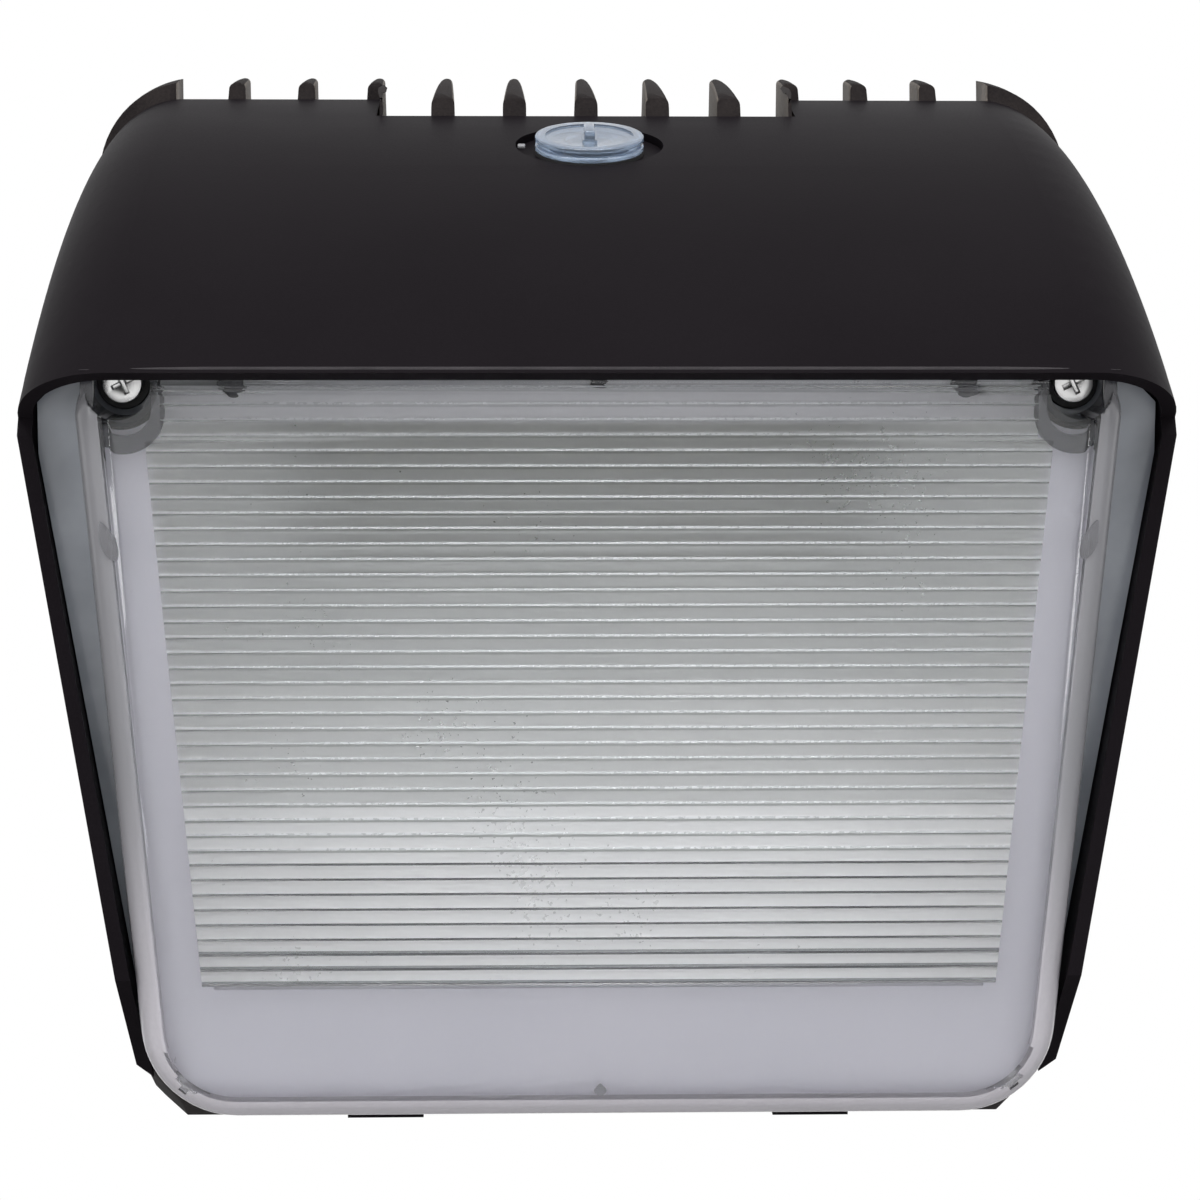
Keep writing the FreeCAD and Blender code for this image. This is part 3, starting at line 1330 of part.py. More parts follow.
def make_wires():
    """Every wire inside the light, from joint to joint."""
    thin = size("wire_radius")
    level, near, inside = size("grommet_level"), -size("wire_forward"), deck_back + size("terminal_depth") / 2
    side, tall = size("grommet_side"), size("driver_height") / 2
    start_x = size("board_width") / 2 + size("connector_width")
    start_y = seam - size("connector_depth") / 2
    driver_side, driver_y = size("driver_width") / 2, deck_back + size("driver_depth") / 2
    led_wires = [wire([
        (start_x, start_y, board_level + step), (side + step, start_y, board_level + step),
        (side + step, start_y, level + WIRE_DROP * 2), (side + step, near, level + WIRE_DROP),
        (side + step, near, level), (side + step, driver_y + step, level),
        (driver_side, driver_y + step, level)], thin) for step in spread(2)]
    free_shape("led_leads", Part.makeCompound(led_wires))
    end = -size("recess_depth") - size("sensor_length")
    out_y = photocell_y - sine(photocell_lean) * end
    out_z = photocell_z + cosine(photocell_lean) * end
    turn = (near - out_y) / sine(photocell_lean) * cosine(photocell_lean)
    cross = size("wire_cross_level")
    block_side = terminal_x - size("terminal_width") / 2
    sensor_wires = [wire([
        (step, out_y, out_z), (step, near, out_z - turn), (step, near, cross - step),
        (step - side, near, cross - step), (step - side, near, level), (step - side, inside, level),
        (step - side, inside, terminal_z + step), (block_side, inside, terminal_z + step)], thin)
        for step in spread(TERMINALS)]
    free_shape("photocell_leads", Part.makeCompound(sensor_wires))
    block_top = terminal_z + size("terminal_height") / 2
    driver_low = size("driver_level") - tall
    half = (driver_low + block_top) / 2
    supply = [wire([
        (terminal_x + step, driver_y, driver_low), (terminal_x + step, driver_y, half + WIRE_SLACK / 2),
        (terminal_x + step, inside, half - WIRE_SLACK / 2), (terminal_x + step, inside, block_top)], thin)
        for step in spread(2)]
    free_shape("driver_input_leads", Part.makeCompound(supply))
    ring = size("washer_radius")
    tail_x = ground_x - ring - WIRE_SLACK / 2
    lug_y = ground_seat + thin
    block_end = terminal_x + size("terminal_width") / 2
    line = free_shape("ground_wire", wire([
        (ground_x - ring, lug_y, terminal_z), (tail_x - WIRE_DROP, lug_y, terminal_z),
        (tail_x - WIRE_DROP * 2, lug_y, terminal_z - WIRE_SLACK),
        (block_end + WIRE_DROP * 2, inside, terminal_z - WIRE_SLACK),
        (block_end + WIRE_DROP, inside, terminal_z), (block_end, inside, terminal_z)], thin))
    lug = cut("ground_lug", fuse("ground_lug_blank", [
        rod("ground_ring", ring, (ground_x, ground_seat, terminal_z), size("ring_thickness"), "y"),
        box("ground_tongue", (tail_x, ground_seat, terminal_z - thin), (ground_x - size("head_radius"),
            ground_seat + size("ring_thickness"), terminal_z + thin))]), [
        rod("ground_ring_hole", size("screw_radius"), (ground_x, deck_back, terminal_z), CLEAR, "y")])
    fuse("ground_lead", [line, lug])


# ---- the whole light -------------------------------------------------------------------

for make_pieces in (make_hood, make_housing, make_housing_fasteners, make_seam_gasket, make_lens,
                    make_lens_fasteners, make_lens_gasket, make_photocell, make_wall_plate, make_wall_gasket,
                    make_light_engine, make_reflector, make_driver, make_terminals, make_grommets,
                    make_wires):
    make_pieces()

NODES = [
    "wall_plate", "wall_gasket", "hinge_pins", "latch_screws", "housing", "hood", "hood_screws",
    "seam_gasket", "lens", "lens_gasket", "lens_screws", "lens_washers", "photocell_window",
    "photocell_gasket", "photocell_sensor", "photocell_nut", "thermal_pad", "led_board", "led_chips",
    "led_board_screws", "board_connector", "reflector", "reflector_screws", "driver", "driver_screws",
    "terminal_block", "terminal_screws", "ground_screw", "wire_grommets", "vent_plug", "led_leads",
    "photocell_leads", "driver_input_leads", "ground_lead",
]

doc.recompute()
for item in doc.Objects:
    if "Invalid" in item.State or "Error" in item.State:
        raise RuntimeError(f"{item.Name} did not compute: {item.State}")
nodes = [doc.getObject(name) for name in NODES]
for node in nodes:
    if node.Label != node.Name or node.Shape.isNull() or not node.Shape.isValid() or not node.Shape.Solids:
        raise RuntimeError(f"{node.Name} is not a sound solid")
    print(node.Name, len(node.Shape.Solids), round(node.Shape.Volume))

os.makedirs("parts", exist_ok=True)
for node in nodes:
    node.Shape.exportStep(f"parts/{node.Name}.step")
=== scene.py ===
import bpy, bmesh, math
from mathutils import Matrix, Vector


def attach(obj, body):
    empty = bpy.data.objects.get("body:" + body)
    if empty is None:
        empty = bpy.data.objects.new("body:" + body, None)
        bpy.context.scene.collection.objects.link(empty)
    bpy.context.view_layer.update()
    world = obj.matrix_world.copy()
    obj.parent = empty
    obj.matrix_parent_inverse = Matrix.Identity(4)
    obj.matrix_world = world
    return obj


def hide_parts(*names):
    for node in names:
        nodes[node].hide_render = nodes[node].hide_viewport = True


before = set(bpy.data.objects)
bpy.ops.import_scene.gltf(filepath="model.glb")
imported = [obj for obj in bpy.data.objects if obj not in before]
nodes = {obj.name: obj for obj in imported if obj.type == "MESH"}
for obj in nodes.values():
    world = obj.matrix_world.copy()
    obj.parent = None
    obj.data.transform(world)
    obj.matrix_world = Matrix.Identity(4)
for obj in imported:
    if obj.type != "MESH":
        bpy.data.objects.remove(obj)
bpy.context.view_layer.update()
MM = 0.001
WELD = 0.00001                  # vertices closer than this, in metres, become one
FLAT = math.radians(0.5)        # faces that turn less than this are joined into one
SELECT_MODE = {"verts": "VERT", "edges": "EDGE", "faces": "FACE"}

# ---- modelling helpers -----------------------------------------------------------------


def only(obj):
    """Selects one object and makes it the active one."""
    bpy.ops.object.select_all(action="DESELECT")
    obj.select_set(True)
    bpy.context.view_layer.objects.active = obj


def settle(obj, matrix=Matrix.Identity(4)):
    """Puts an object's place into its mesh, after an optional further move."""
    obj.data.transform(matrix @ obj.matrix_basis)
    obj.matrix_basis = Matrix.Identity(4)


def primitive(kind, name, **settings):
    """A new primitive whose place is already in its mesh."""
    bpy.ops.object.select_all(action="DESELECT")
    getattr(bpy.ops.mesh, f"primitive_{kind}_add")(**settings)
    obj = bpy.context.object
    obj.name = obj.data.name = name
    settle(obj)
    return obj


def modify(obj, kind, **settings):
    """Adds a modifier and applies it."""
    only(obj)
    modifier = obj.modifiers.new(kind, kind)
    for key, value in settings.items():
        setattr(modifier, key, value)
    bpy.ops.object.modifier_apply(modifier=modifier.name)


def combine(obj, operation, tool):
    """Joins a tool to an object or cuts it out of the object, then removes the tool."""
    modify(obj, "BOOLEAN", operation=operation, object=tool, solver="EXACT")
    bpy.data.objects.remove(tool)


def pick(obj, kind, test):
    """Enters edit mode with only the vertices, edges or faces that pass the test selected."""
    only(obj)
    bpy.ops.object.mode_set(mode="EDIT")
    bpy.ops.mesh.select_mode(type=SELECT_MODE[kind])
    bpy.ops.mesh.select_all(action="DESELECT")
    mesh = bmesh.from_edit_mesh(obj.data)
    for item in getattr(mesh, kind):
        if test(item):
            item.select_set(True)
    mesh.select_flush_mode()
    bmesh.update_edit_mesh(obj.data)


def done():
    """Leaves edit mode."""
    bpy.ops.object.mode_set(mode="OBJECT")


def smooth(obj, degrees):
    """Shades an object smooth, except across edges that turn more than the angle."""
    only(obj)
    bpy.ops.object.shade_smooth_by_angle(angle=math.radians(degrees))


def soften(obj, width, segments=3, angle=30):
    """Rounds every sharp edge and smooths the rest."""
    modify(obj, "BEVEL", width=width, segments=segments, limit_method="ANGLE", angle_limit=math.radians(angle))
    smooth(obj, 35)


def copy_of(name, new_name, flatten=True):
    """A merged copy of a CAD node's mesh, free to be shaped; flatten joins the faces that lie in one plane."""
    obj = nodes[name].copy()
    obj.data = nodes[name].data.copy()
    obj.name = obj.data.name = new_name
    obj.parent = None
    obj.matrix_basis = Matrix.Identity(4)
    bpy.context.scene.collection.objects.link(obj)
    pick(obj, "verts", lambda vert: True)
    bpy.ops.mesh.remove_doubles(threshold=WELD)
    if flatten:
        bpy.ops.mesh.dissolve_limited(angle_limit=FLAT)
    done()
    return obj


def dress(obj, finish, body, slot, *stands_for):
    """Gives a piece its material and its body, and hides the CAD nodes it stands for."""
    obj.data.materials.clear()
    obj.data.materials.append(finish)
    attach(obj, body)
    if stands_for:
        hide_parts(*stands_for)


def merge(first, *others):
    """Joins other objects into the first one."""
    only(first)
    for obj in others:
        obj.select_set(True)
    bpy.ops.object.join()
    return first


# ---- material helpers ------------------------------------------------------------------


def socket(group, name, way, kind="NodeSocketFloat", value=None):
    """Adds a socket to the outside of a node group."""
    made = group.interface.new_socket(name=name, in_out=way, socket_type=kind)
    if value is not None:
        made.default_value = value


def make_grain():
    """Fine and coarse speckle of a coated, moulded or cast surface."""
    group = bpy.data.node_groups.new("surface_grain", "ShaderNodeTree")
    for name, value in (("Fine Size", 2500.0), ("Cloud Size", 30.0), ("Contrast", 0.3), ("Base", 0.5)):
        socket(group, name, "INPUT", value=value)
    socket(group, "Colour Low", "INPUT", "NodeSocketColor", (0.1, 0.1, 0.1, 1))
    socket(group, "Colour High", "INPUT", "NodeSocketColor", (0.2, 0.2, 0.2, 1))
    socket(group, "Color", "OUTPUT", "NodeSocketColor")
    socket(group, "Roughness", "OUTPUT")
    socket(group, "Height", "OUTPUT")
    make, link = group.nodes.new, group.links.new
    entry, leave = make("NodeGroupInput"), make("NodeGroupOutput")
    place = make("ShaderNodeTexCoord")
    fine, cloud = make("ShaderNodeTexNoise"), make("ShaderNodeTexNoise")
    fine.inputs["Detail"].default_value = 3.0
    cloud.inputs["Detail"].default_value = 5.0
    for noise, size in ((fine, "Fine Size"), (cloud, "Cloud Size")):
        link(place.outputs["Object"], noise.inputs["Vector"])
        link(entry.outputs[size], noise.inputs["Scale"])
    cloud_share = make("ShaderNodeMath")
    cloud_share.operation = "MULTIPLY"
    cloud_share.inputs[1].default_value = 0.55
    link(cloud.outputs["Fac"], cloud_share.inputs[0])
    blend = make("ShaderNodeMath")
    blend.operation = "MULTIPLY_ADD"
    blend.inputs[1].default_value = 0.45
    link(fine.outputs["Fac"], blend.inputs[0])
    link(cloud_share.outputs[0], blend.inputs[2])
    ramp = make("ShaderNodeMapRange")
    ramp.inputs["From Min"].default_value = 0.3
    ramp.inputs["From Max"].default_value = 0.7
    link(blend.outputs[0], ramp.inputs["Value"])
    mix = make("ShaderNodeMix")
    mix.data_type = "RGBA"
    link(ramp.outputs["Result"], mix.inputs["Factor"])
    link(entry.outputs["Colour Low"], mix.inputs[6])
    link(entry.outputs["Colour High"], mix.inputs[7])
    link(mix.outputs[2], leave.inputs["Color"])
    rough = make("ShaderNodeMath")
    rough.operation = "MULTIPLY_ADD"
    link(ramp.outputs["Result"], rough.inputs[0])
    link(entry.outputs["Contrast"], rough.inputs[1])
    link(entry.outputs["Base"], rough.inputs[2])
    link(rough.outputs[0], leave.inputs["Roughness"])
    link(fine.outputs["Fac"], leave.inputs["Height"])
    return group


def make_band():
    """A mask that turns from 0 to 1 along a direction in the object's own space."""
    group = bpy.data.node_groups.new("band_mask", "ShaderNodeTree")
    socket(group, "Direction", "INPUT", "NodeSocketVector", (0, 0, 1))
    socket(group, "Start", "INPUT", value=0.0)
    socket(group, "End", "INPUT", value=1.0)
    socket(group, "Mask", "OUTPUT")
    make, link = group.nodes.new, group.links.new
    entry, leave = make("NodeGroupInput"), make("NodeGroupOutput")
    place, along = make("ShaderNodeTexCoord"), make("ShaderNodeVectorMath")
    along.operation = "DOT_PRODUCT"
    link(place.outputs["Object"], along.inputs[0])
    link(entry.outputs["Direction"], along.inputs[1])
    turn = make("ShaderNodeMapRange")
    turn.interpolation_type = "SMOOTHSTEP"
    link(along.outputs["Value"], turn.inputs["Value"])
    link(entry.outputs["Start"], turn.inputs["From Min"])
    link(entry.outputs["End"], turn.inputs["From Max"])
    link(turn.outputs["Result"], leave.inputs["Mask"])
    return group


grain, band = make_grain(), make_band()


def material(name, low, high, base, spread, fine=2500.0, cloud=30.0, bump=0.0002, strength=0.3, **plain):
    """A surface whose colour, roughness and relief vary with the grain; plain values stay on the shader."""
    made = bpy.data.materials.new(name)
    made.use_nodes = True
    tree = made.node_tree
    shader = tree.nodes["Principled BSDF"]
    speckle = tree.nodes.new("ShaderNodeGroup")
    speckle.name = "grain"
    speckle.node_tree = grain
    speckle.inputs["Fine Size"].default_value = fine
    speckle.inputs["Cloud Size"].default_value = cloud
    speckle.inputs["Contrast"].default_value = spread
    speckle.inputs["Base"].default_value = base
    speckle.inputs["Colour Low"].default_value = (*low, 1)
    speckle.inputs["Colour High"].default_value = (*high, 1)
    relief = tree.nodes.new("ShaderNodeBump")
    relief.inputs["Strength"].default_value = strength
    relief.inputs["Distance"].default_value = bump
    link = tree.links.new
    link(speckle.outputs["Color"], shader.inputs["Base Color"])
    link(speckle.outputs["Roughness"], shader.inputs["Roughness"])
    link(speckle.outputs["Height"], relief.inputs["Height"])
    link(relief.outputs["Normal"], shader.inputs["Normal"])
    for socket_name, value in plain.items():
        shader.inputs[socket_name.replace("_", " ")].default_value = value
    return made


def see_through(name, low, high, base, weight, cloud=25.0, spread=0.1, ior=1.45):
    """A clear or milky moulded plastic; the weight is the share of light that enters it."""
    return material(name, low, high, base, spread, fine=900.0, cloud=cloud, bump=0.00003, strength=0.1,
                    Transmission_Weight=weight, IOR=ior)


def tint_band(made, colour, direction, start, end):
    """Blends a second colour into a material past a place along a direction."""
    tree = made.node_tree
    shader = tree.nodes["Principled BSDF"]
    before = shader.inputs["Base Color"].links[0].from_socket
    mask = tree.nodes.new("ShaderNodeGroup")
    mask.node_tree = band
    mask.inputs["Direction"].default_value = direction
    mask.inputs["Start"].default_value = start
    mask.inputs["End"].default_value = end
    mix = tree.nodes.new("ShaderNodeMix")
    mix.data_type = "RGBA"
    tree.links.new(mask.outputs["Mask"], mix.inputs["Factor"])
    tree.links.new(before, mix.inputs[6])
    mix.inputs[7].default_value = (*colour, 1)
    tree.links.new(mix.outputs[2], shader.inputs["Base Color"])


# ---- materials -------------------------------------------------------------------------

bronze = material("dark_bronze_coat", (0.0062, 0.0050, 0.0062), (0.0090, 0.0076, 0.0090), 0.38, 0.1,
                  fine=2200.0, cloud=18.0, bump=0.00010, Specular_IOR_Level=0.009)
# painted highlight: the lip bead's lighter colour stands in for the highlight along the lip's rounded lower
# edge
bronze_highlight = material("bronze_edge_painted_highlight", (0.022, 0.020, 0.022), (0.040, 0.037, 0.040), 0.35, 0.1,
                       fine=2200.0, cloud=120.0, bump=0.00010, Specular_IOR_Level=0.05)
bronze_fins = material("cast_bronze_fins", (0.008, 0.0068, 0.0075), (0.022, 0.0185, 0.018), 0.5, 0.2,
                       fine=1500.0, cloud=90.0, bump=0.0003, strength=0.5, Specular_IOR_Level=0.02)
fin_side = material("lighter_fin_side_grain", (0.026, 0.022, 0.019), (0.15, 0.13, 0.115), 0.5, 0.2,
                    fine=1300.0, cloud=400.0, bump=0.0003, strength=0.6, Specular_IOR_Level=0.1)
clear = see_through("clear_lens_plastic", (0.90, 0.915, 0.94), (0.94, 0.95, 0.97), 0.06, 1.0, spread=0.05)
pane = see_through("ribbed_pane", (0.88, 0.89, 0.885), (0.93, 0.94, 0.935), 0.26, 0.78)
# painted light: whiter, less clear copies of the milky pane for the lower window, where the funnel behind is
# better lit
pane_lit = see_through("ribbed_pane_painted_light", (0.90, 0.905, 0.90), (0.94, 0.945, 0.94), 0.26, 0.64)
pane_bright = see_through("ribbed_pane_painted_bright", (0.96, 0.96, 0.96), (0.99, 0.99, 0.99), 0.26, 0.3)
# painted highlight: the steep ledge of each rib is whiter and less clear, for the bright line the light makes
# along it
rib_highlight = see_through("rib_ledge_painted_highlight", (0.90, 0.92, 0.93), (0.96, 0.97, 0.98), 0.22, 0.2, cloud=12.0)
shade = see_through("rib_shade", (0.55, 0.58, 0.56), (0.64, 0.66, 0.65), 0.28, 0.84, cloud=12.0)
faint = see_through("faint_mark", (0.22, 0.22, 0.24), (0.30, 0.30, 0.32), 0.1, 0.6, cloud=80.0)
# painted shade: the broad dark lines between the lowest ribs
rib_broad_shade = see_through("rib_broad_painted_shade", (0.34, 0.36, 0.38), (0.44, 0.46, 0.48), 0.2, 0.8, cloud=12.0)
side = material("clear_flange", (0.26, 0.28, 0.32), (0.50, 0.53, 0.58), 0.12, 0.1, fine=60.0, cloud=40.0,
                bump=0.00005, strength=0.2, Transmission_Weight=0.3, IOR=1.45)
rim = see_through("tray_rim", (0.56, 0.54, 0.58), (0.62, 0.60, 0.64), 0.12, 0.45, cloud=12.0)
# painted shade: clear plastic darkened for the dark seen through the posts, the screw pockets' walls and the
# ledges of the lowest ribs
shaded_clear = see_through("clear_plastic_painted_shade", (0.06, 0.06, 0.07), (0.13, 0.13, 0.145), 0.08, 0.5,
                    cloud=80.0, ior=1.5)
window = see_through("clear_blue_window", (0.44, 0.55, 0.72), (0.54, 0.65, 0.80), 0.06, 0.85,
                     cloud=80.0, ior=1.5)
white = material("white_reflector", (0.78, 0.79, 0.78), (0.84, 0.84, 0.83), 0.35, 0.15,
                 fine=900.0, cloud=25.0, bump=0.00005, strength=0.15)
steel = material("bright_steel", (0.62, 0.62, 0.62), (0.75, 0.75, 0.74), 0.22, 0.2,
                 fine=3000.0, cloud=200.0, bump=0.00005, strength=0.2, Metallic=1.0)
zinc = material("zinc_sheet", (0.45, 0.46, 0.48), (0.66, 0.67, 0.68), 0.3, 0.25,
                fine=400.0, cloud=80.0, bump=0.00005, strength=0.2, Metallic=1.0)
rubber = material("black_rubber", (0.010, 0.010, 0.010), (0.020, 0.020, 0.021), 0.55, 0.2,
                  cloud=120.0, bump=0.0001)
foam = material("black_foam", (0.012, 0.012, 0.012), (0.035, 0.035, 0.036), 0.8, 0.15,
                fine=1400.0, cloud=300.0, bump=0.0003, strength=0.8)
silicone = material("grey_silicone", (0.16, 0.16, 0.17), (0.22, 0.22, 0.23), 0.5, 0.2,
                    cloud=120.0, bump=0.0001)
black = material("black_plastic", (0.012, 0.012, 0.012), (0.022, 0.022, 0.023), 0.35, 0.2,
                 fine=2000.0, cloud=90.0, bump=0.0001)
mask = material("board_mask", (0.06, 0.07, 0.055), (0.09, 0.10, 0.08), 0.3, 0.15,
                fine=1200.0, cloud=60.0)
phosphor = material("led_phosphor", (0.26, 0.25, 0.12), (0.34, 0.32, 0.16), 0.25, 0.1,
                    fine=3000.0, cloud=300.0)
pale = material("pale_plastic", (0.72, 0.72, 0.70), (0.80, 0.80, 0.78), 0.35, 0.15,
                fine=1500.0, cloud=90.0)
case = material("driver_case", (0.55, 0.56, 0.57), (0.68, 0.69, 0.70), 0.3, 0.2,
                fine=1200.0, cloud=60.0, Metallic=1.0)
red = material("red_insulation", (0.42, 0.02, 0.015), (0.52, 0.035, 0.03), 0.35, 0.15,
               fine=2000.0, cloud=200.0)
green = material("green_insulation", (0.02, 0.20, 0.05), (0.04, 0.28, 0.08), 0.35, 0.15,
                 fine=2000.0, cloud=200.0)

# ---- the lens's own axes: X across, Y up the lens, Z out of it -----------------------------

TILT = math.radians(28)
LENS_OUT = Vector((0, -math.cos(TILT), -math.sin(TILT)))
LENS_UP = Vector((0, -math.sin(TILT), math.cos(TILT)))
LENS_FOOT = Vector((0, -46.1, -54.5)) * MM
LENS = Matrix.Identity(4)
for row in range(3):
    LENS[row][1], LENS[row][2], LENS[row][3] = LENS_UP[row], LENS_OUT[row], LENS_FOOT[row]

# the reflector's frame, outside this depth behind the lens border, is a greyer plastic than its funnel
FRAME_OUT = (10.2, 10.6)
# painted shade: the tray's rim turns darker between these heights, up towards the hood
RIM_SHADE_UP = (12, 80)

foot_out, foot_up = LENS_FOOT.dot(LENS_OUT), LENS_FOOT.dot(LENS_UP)
tint_band(white, (0.66, 0.64, 0.69), LENS_OUT, *(foot_out + out * MM for out in FRAME_OUT))
tint_band(rim, (0.31, 0.31, 0.33), LENS_UP, *(foot_up + up * MM for up in RIM_SHADE_UP))

# ---- finishes of the nodes that stay as they are -------------------------------------------

FINISH = {
    bronze: ["hood"],
    white: ["reflector"],
    steel: ["hinge_pins", "hood_screws", "led_board_screws", "reflector_screws", "driver_screws",
            "terminal_screws"],
    zinc: ["wall_plate"],
    foam: ["wall_gasket"],
    rubber: ["seam_gasket", "photocell_gasket", "wire_grommets"],
    silicone: ["lens_gasket", "thermal_pad"],
    black: ["photocell_sensor", "photocell_nut", "vent_plug", "photocell_leads"],
    mask: ["led_board"],
    phosphor: ["led_chips"],
    pale: ["board_connector", "terminal_block", "driver_input_leads"],
    case: ["driver"],
    red: ["led_leads"],
    green: ["ground_screw", "ground_lead"],
}
for finish, names in FINISH.items():
    for name in names:
        for place in nodes[name].material_slots:
            place.material = finish

# ---- lens ------------------------------------------------------------------------------

TRAY_HEIGHT = 157.04                    # mm up the lens
FOOT_HALF, TOP_HALF = 93.6, 107.4       # half widths of the tray at its foot and at that height
FACE_BACK = 15.5 * MM                   # inner side of the tray's face
CAD_RIB_DEPTH = 1.3 * MM                # depth of the plain ribs that are flattened first
FLAT_MARGIN = 0.2 * MM                  # how far above the ribs the face is flattened
CAD_RIB_INSET = 13.5                    # mm from the tray's side to the plain ribs
RIB_INSET = 14                          # mm from the tray's side to the shaped ribs
POCKET_FOOT = 141 * MM                  # the ribs are shorter above this height, beside the screw pockets
POCKET_RIB_HALF = 88.8 * MM
RIB_PITCH = 3.16 * MM
RIB_START = 28.42 * MM
RIBS = 40
# share of the pitch and depth in mm of the points of one rib
RIB_SHAPE = ((0.0, 0.08), (0.14, 0.46), (0.30, 0.54), (0.62, 0.52), (0.84, 0.42))
RIB_SLAB, RIB_ROOT = 0.8 * MM, 0.4 * MM     # the slab the ribs start as, and their reach into the face


def lens_half(up):
    """Half width of the lens tray at a height up the lens."""
    return (FOOT_HALF + (TOP_HALF - FOOT_HALF) * up / (TRAY_HEIGHT * MM)) * MM


def make_ribs():
    """The comb of rounded ribs across the back of the lens."""
    steps = RIBS * len(RIB_SHAPE)
    ribs = primitive("grid", "lens_ribs", x_subdivisions=2, y_subdivisions=steps, size=1)
    rows = sorted({round(vert.co.y, 6) for vert in ribs.data.vertices})
    for vert in ribs.data.vertices:
        row = rows.index(round(vert.co.y, 6))
        share, depth = RIB_SHAPE[row % len(RIB_SHAPE)]
        up = RIB_START + (row // len(RIB_SHAPE) + share) * RIB_PITCH
        half = lens_half(up) - RIB_INSET * MM
        if up > POCKET_FOOT:
            half = min(half, POCKET_RIB_HALF)
        at_end = abs(vert.co.x) > 0.1
        vert.co = (math.copysign(half, vert.co.x) if at_end else 0, up, FACE_BACK - depth * MM)
    pick(ribs, "faces", lambda face: True)
    bpy.ops.mesh.extrude_region_move(TRANSFORM_OT_translate={"value": (0, 0, RIB_SLAB)})
    bpy.ops.mesh.select_all(action="SELECT")
    bpy.ops.mesh.normals_make_consistent(inside=False)
    done()
    for vert in ribs.data.vertices:
        if vert.co.z > FACE_BACK:
            vert.co.z = FACE_BACK + RIB_ROOT
    return ribs


def make_lens():
    """The tray with its plain ribs flattened and the shaped ones in their place."""
    lens = copy_of("lens", "ribbed_lens")
    lens.data.transform(LENS.inverted())
    lowest, highest = RIB_START - RIB_PITCH, RIB_START + RIBS * RIB_PITCH + FLAT_MARGIN
    for vert in lens.data.vertices:
        x, up, out = vert.co
        if lowest < up < highest and abs(x) < lens_half(up) - CAD_RIB_INSET * MM:
            if FACE_BACK - CAD_RIB_DEPTH < out < FACE_BACK:
                vert.co.z = FACE_BACK
    pick(lens, "verts", lambda vert: True)
    bpy.ops.mesh.remove_doubles(threshold=WELD)
    bpy.ops.mesh.dissolve_degenerate(threshold=WELD)
    bpy.ops.mesh.dissolve_limited(angle_limit=FLAT)
    done()
    combine(lens, "UNION", make_ribs())
    settle(lens, LENS)
    smooth(lens, 24)
    return lens


def face_finish(obj, finish, test, matrix=LENS):
    """Gives the faces whose centre, in mm, and normal pass a test a finish of their own."""
    obj.data.materials.append(finish)
    number = len(obj.data.materials) - 1
    back = matrix.inverted()
    for face in obj.data.polygons:
        if test(back @ face.center / MM, back.to_3x3() @ face.normal):
            face.material_index = number


lens = make_lens()
dress(lens, clear, "light", "clear_lens", "lens")

# places on the lens, in mm up it or out of it
WINDOW_UP, WINDOW_OUT, WINDOW_INSET = (27, 156), (14.2, 15.45), 13.6
PANE_LIT_UP, PANE_BRIGHT_UP = 92, 66           # the milky pane is made whiter and less clear below these heights: painted light of the brighter funnel floor behind it
DARK_LINE_UP, BROAD_SHADE_UP = 56, 38         # painted shade: the lines between the ribs turn dark, then broad, below these
LEDGE_SHARE, BROAD_SHADE_SHARE, SHADE_SHARE = 0.14, 0.3, 0.8      # shares of the rib pitch
# the rim lies this near the side, this near the foot and further out than this
RIM_WIDTH, RIM_UP, RIM_OUT = 7, 6, 3
FLANGE_OUT, SIDE_PLAY = 4, 0.4


def past_side(spot):
    """How far in mm a spot lies outside the side of the tray."""
    return abs(spot.x) - lens_half(spot.y * MM) / MM


def in_window(spot):
    """Whether a spot is on the ribbed back of the lens."""
    return (WINDOW_OUT[0] < spot.z < WINDOW_OUT[1] and WINDOW_UP[0] < spot.y < WINDOW_UP[1]
            and past_side(spot) < -WINDOW_INSET)


def window_finish(finish, test):
    """Gives a finish to the ribbed faces that pass a test of height and share of the rib pitch."""
    face_finish(lens, finish, lambda spot, normal: in_window(spot) and test(
        spot.y, ((spot.y * MM - RIB_START) / RIB_PITCH) % 1))


def is_rim(spot, normal):
    """Whether a face is on the rounded edge of the tray's front, at the sides or the foot."""
    at_side = (abs(normal.x) > 0.2 or normal.y < -0.2) and past_side(spot) > -RIM_WIDTH
    return spot.z > RIM_OUT and (at_side or spot.y < RIM_UP and abs(normal.z) < 0.95)


window_finish(pane, lambda up, share: True)
window_finish(pane_lit, lambda up, share: up < PANE_LIT_UP)
window_finish(pane_bright, lambda up, share: up < PANE_BRIGHT_UP)
window_finish(rib_highlight, lambda up, share: share < LEDGE_SHARE and up > DARK_LINE_UP)
window_finish(shaded_clear, lambda up, share: share < LEDGE_SHARE and up < DARK_LINE_UP)
window_finish(rib_broad_shade, lambda up, share: LEDGE_SHARE < share < BROAD_SHADE_SHARE and up < BROAD_SHADE_UP)
window_finish(shade, lambda up, share: share > SHADE_SHARE and up > DARK_LINE_UP)
face_finish(lens, rim, is_rim)
face_finish(lens, side, lambda spot, normal: spot.z < FLANGE_OUT or past_side(spot) > SIDE_PLAY)

# ---- moulded details of the lens, in its own axes ------------------------------------------

# name, place across, place up the lens and radius, in mm
POSTS = (("lens_posts", -74, 152.5, 2.7), ("post_right", 74, 152.5, 2.7), ("post_middle", 0, 153.2, 1.7))
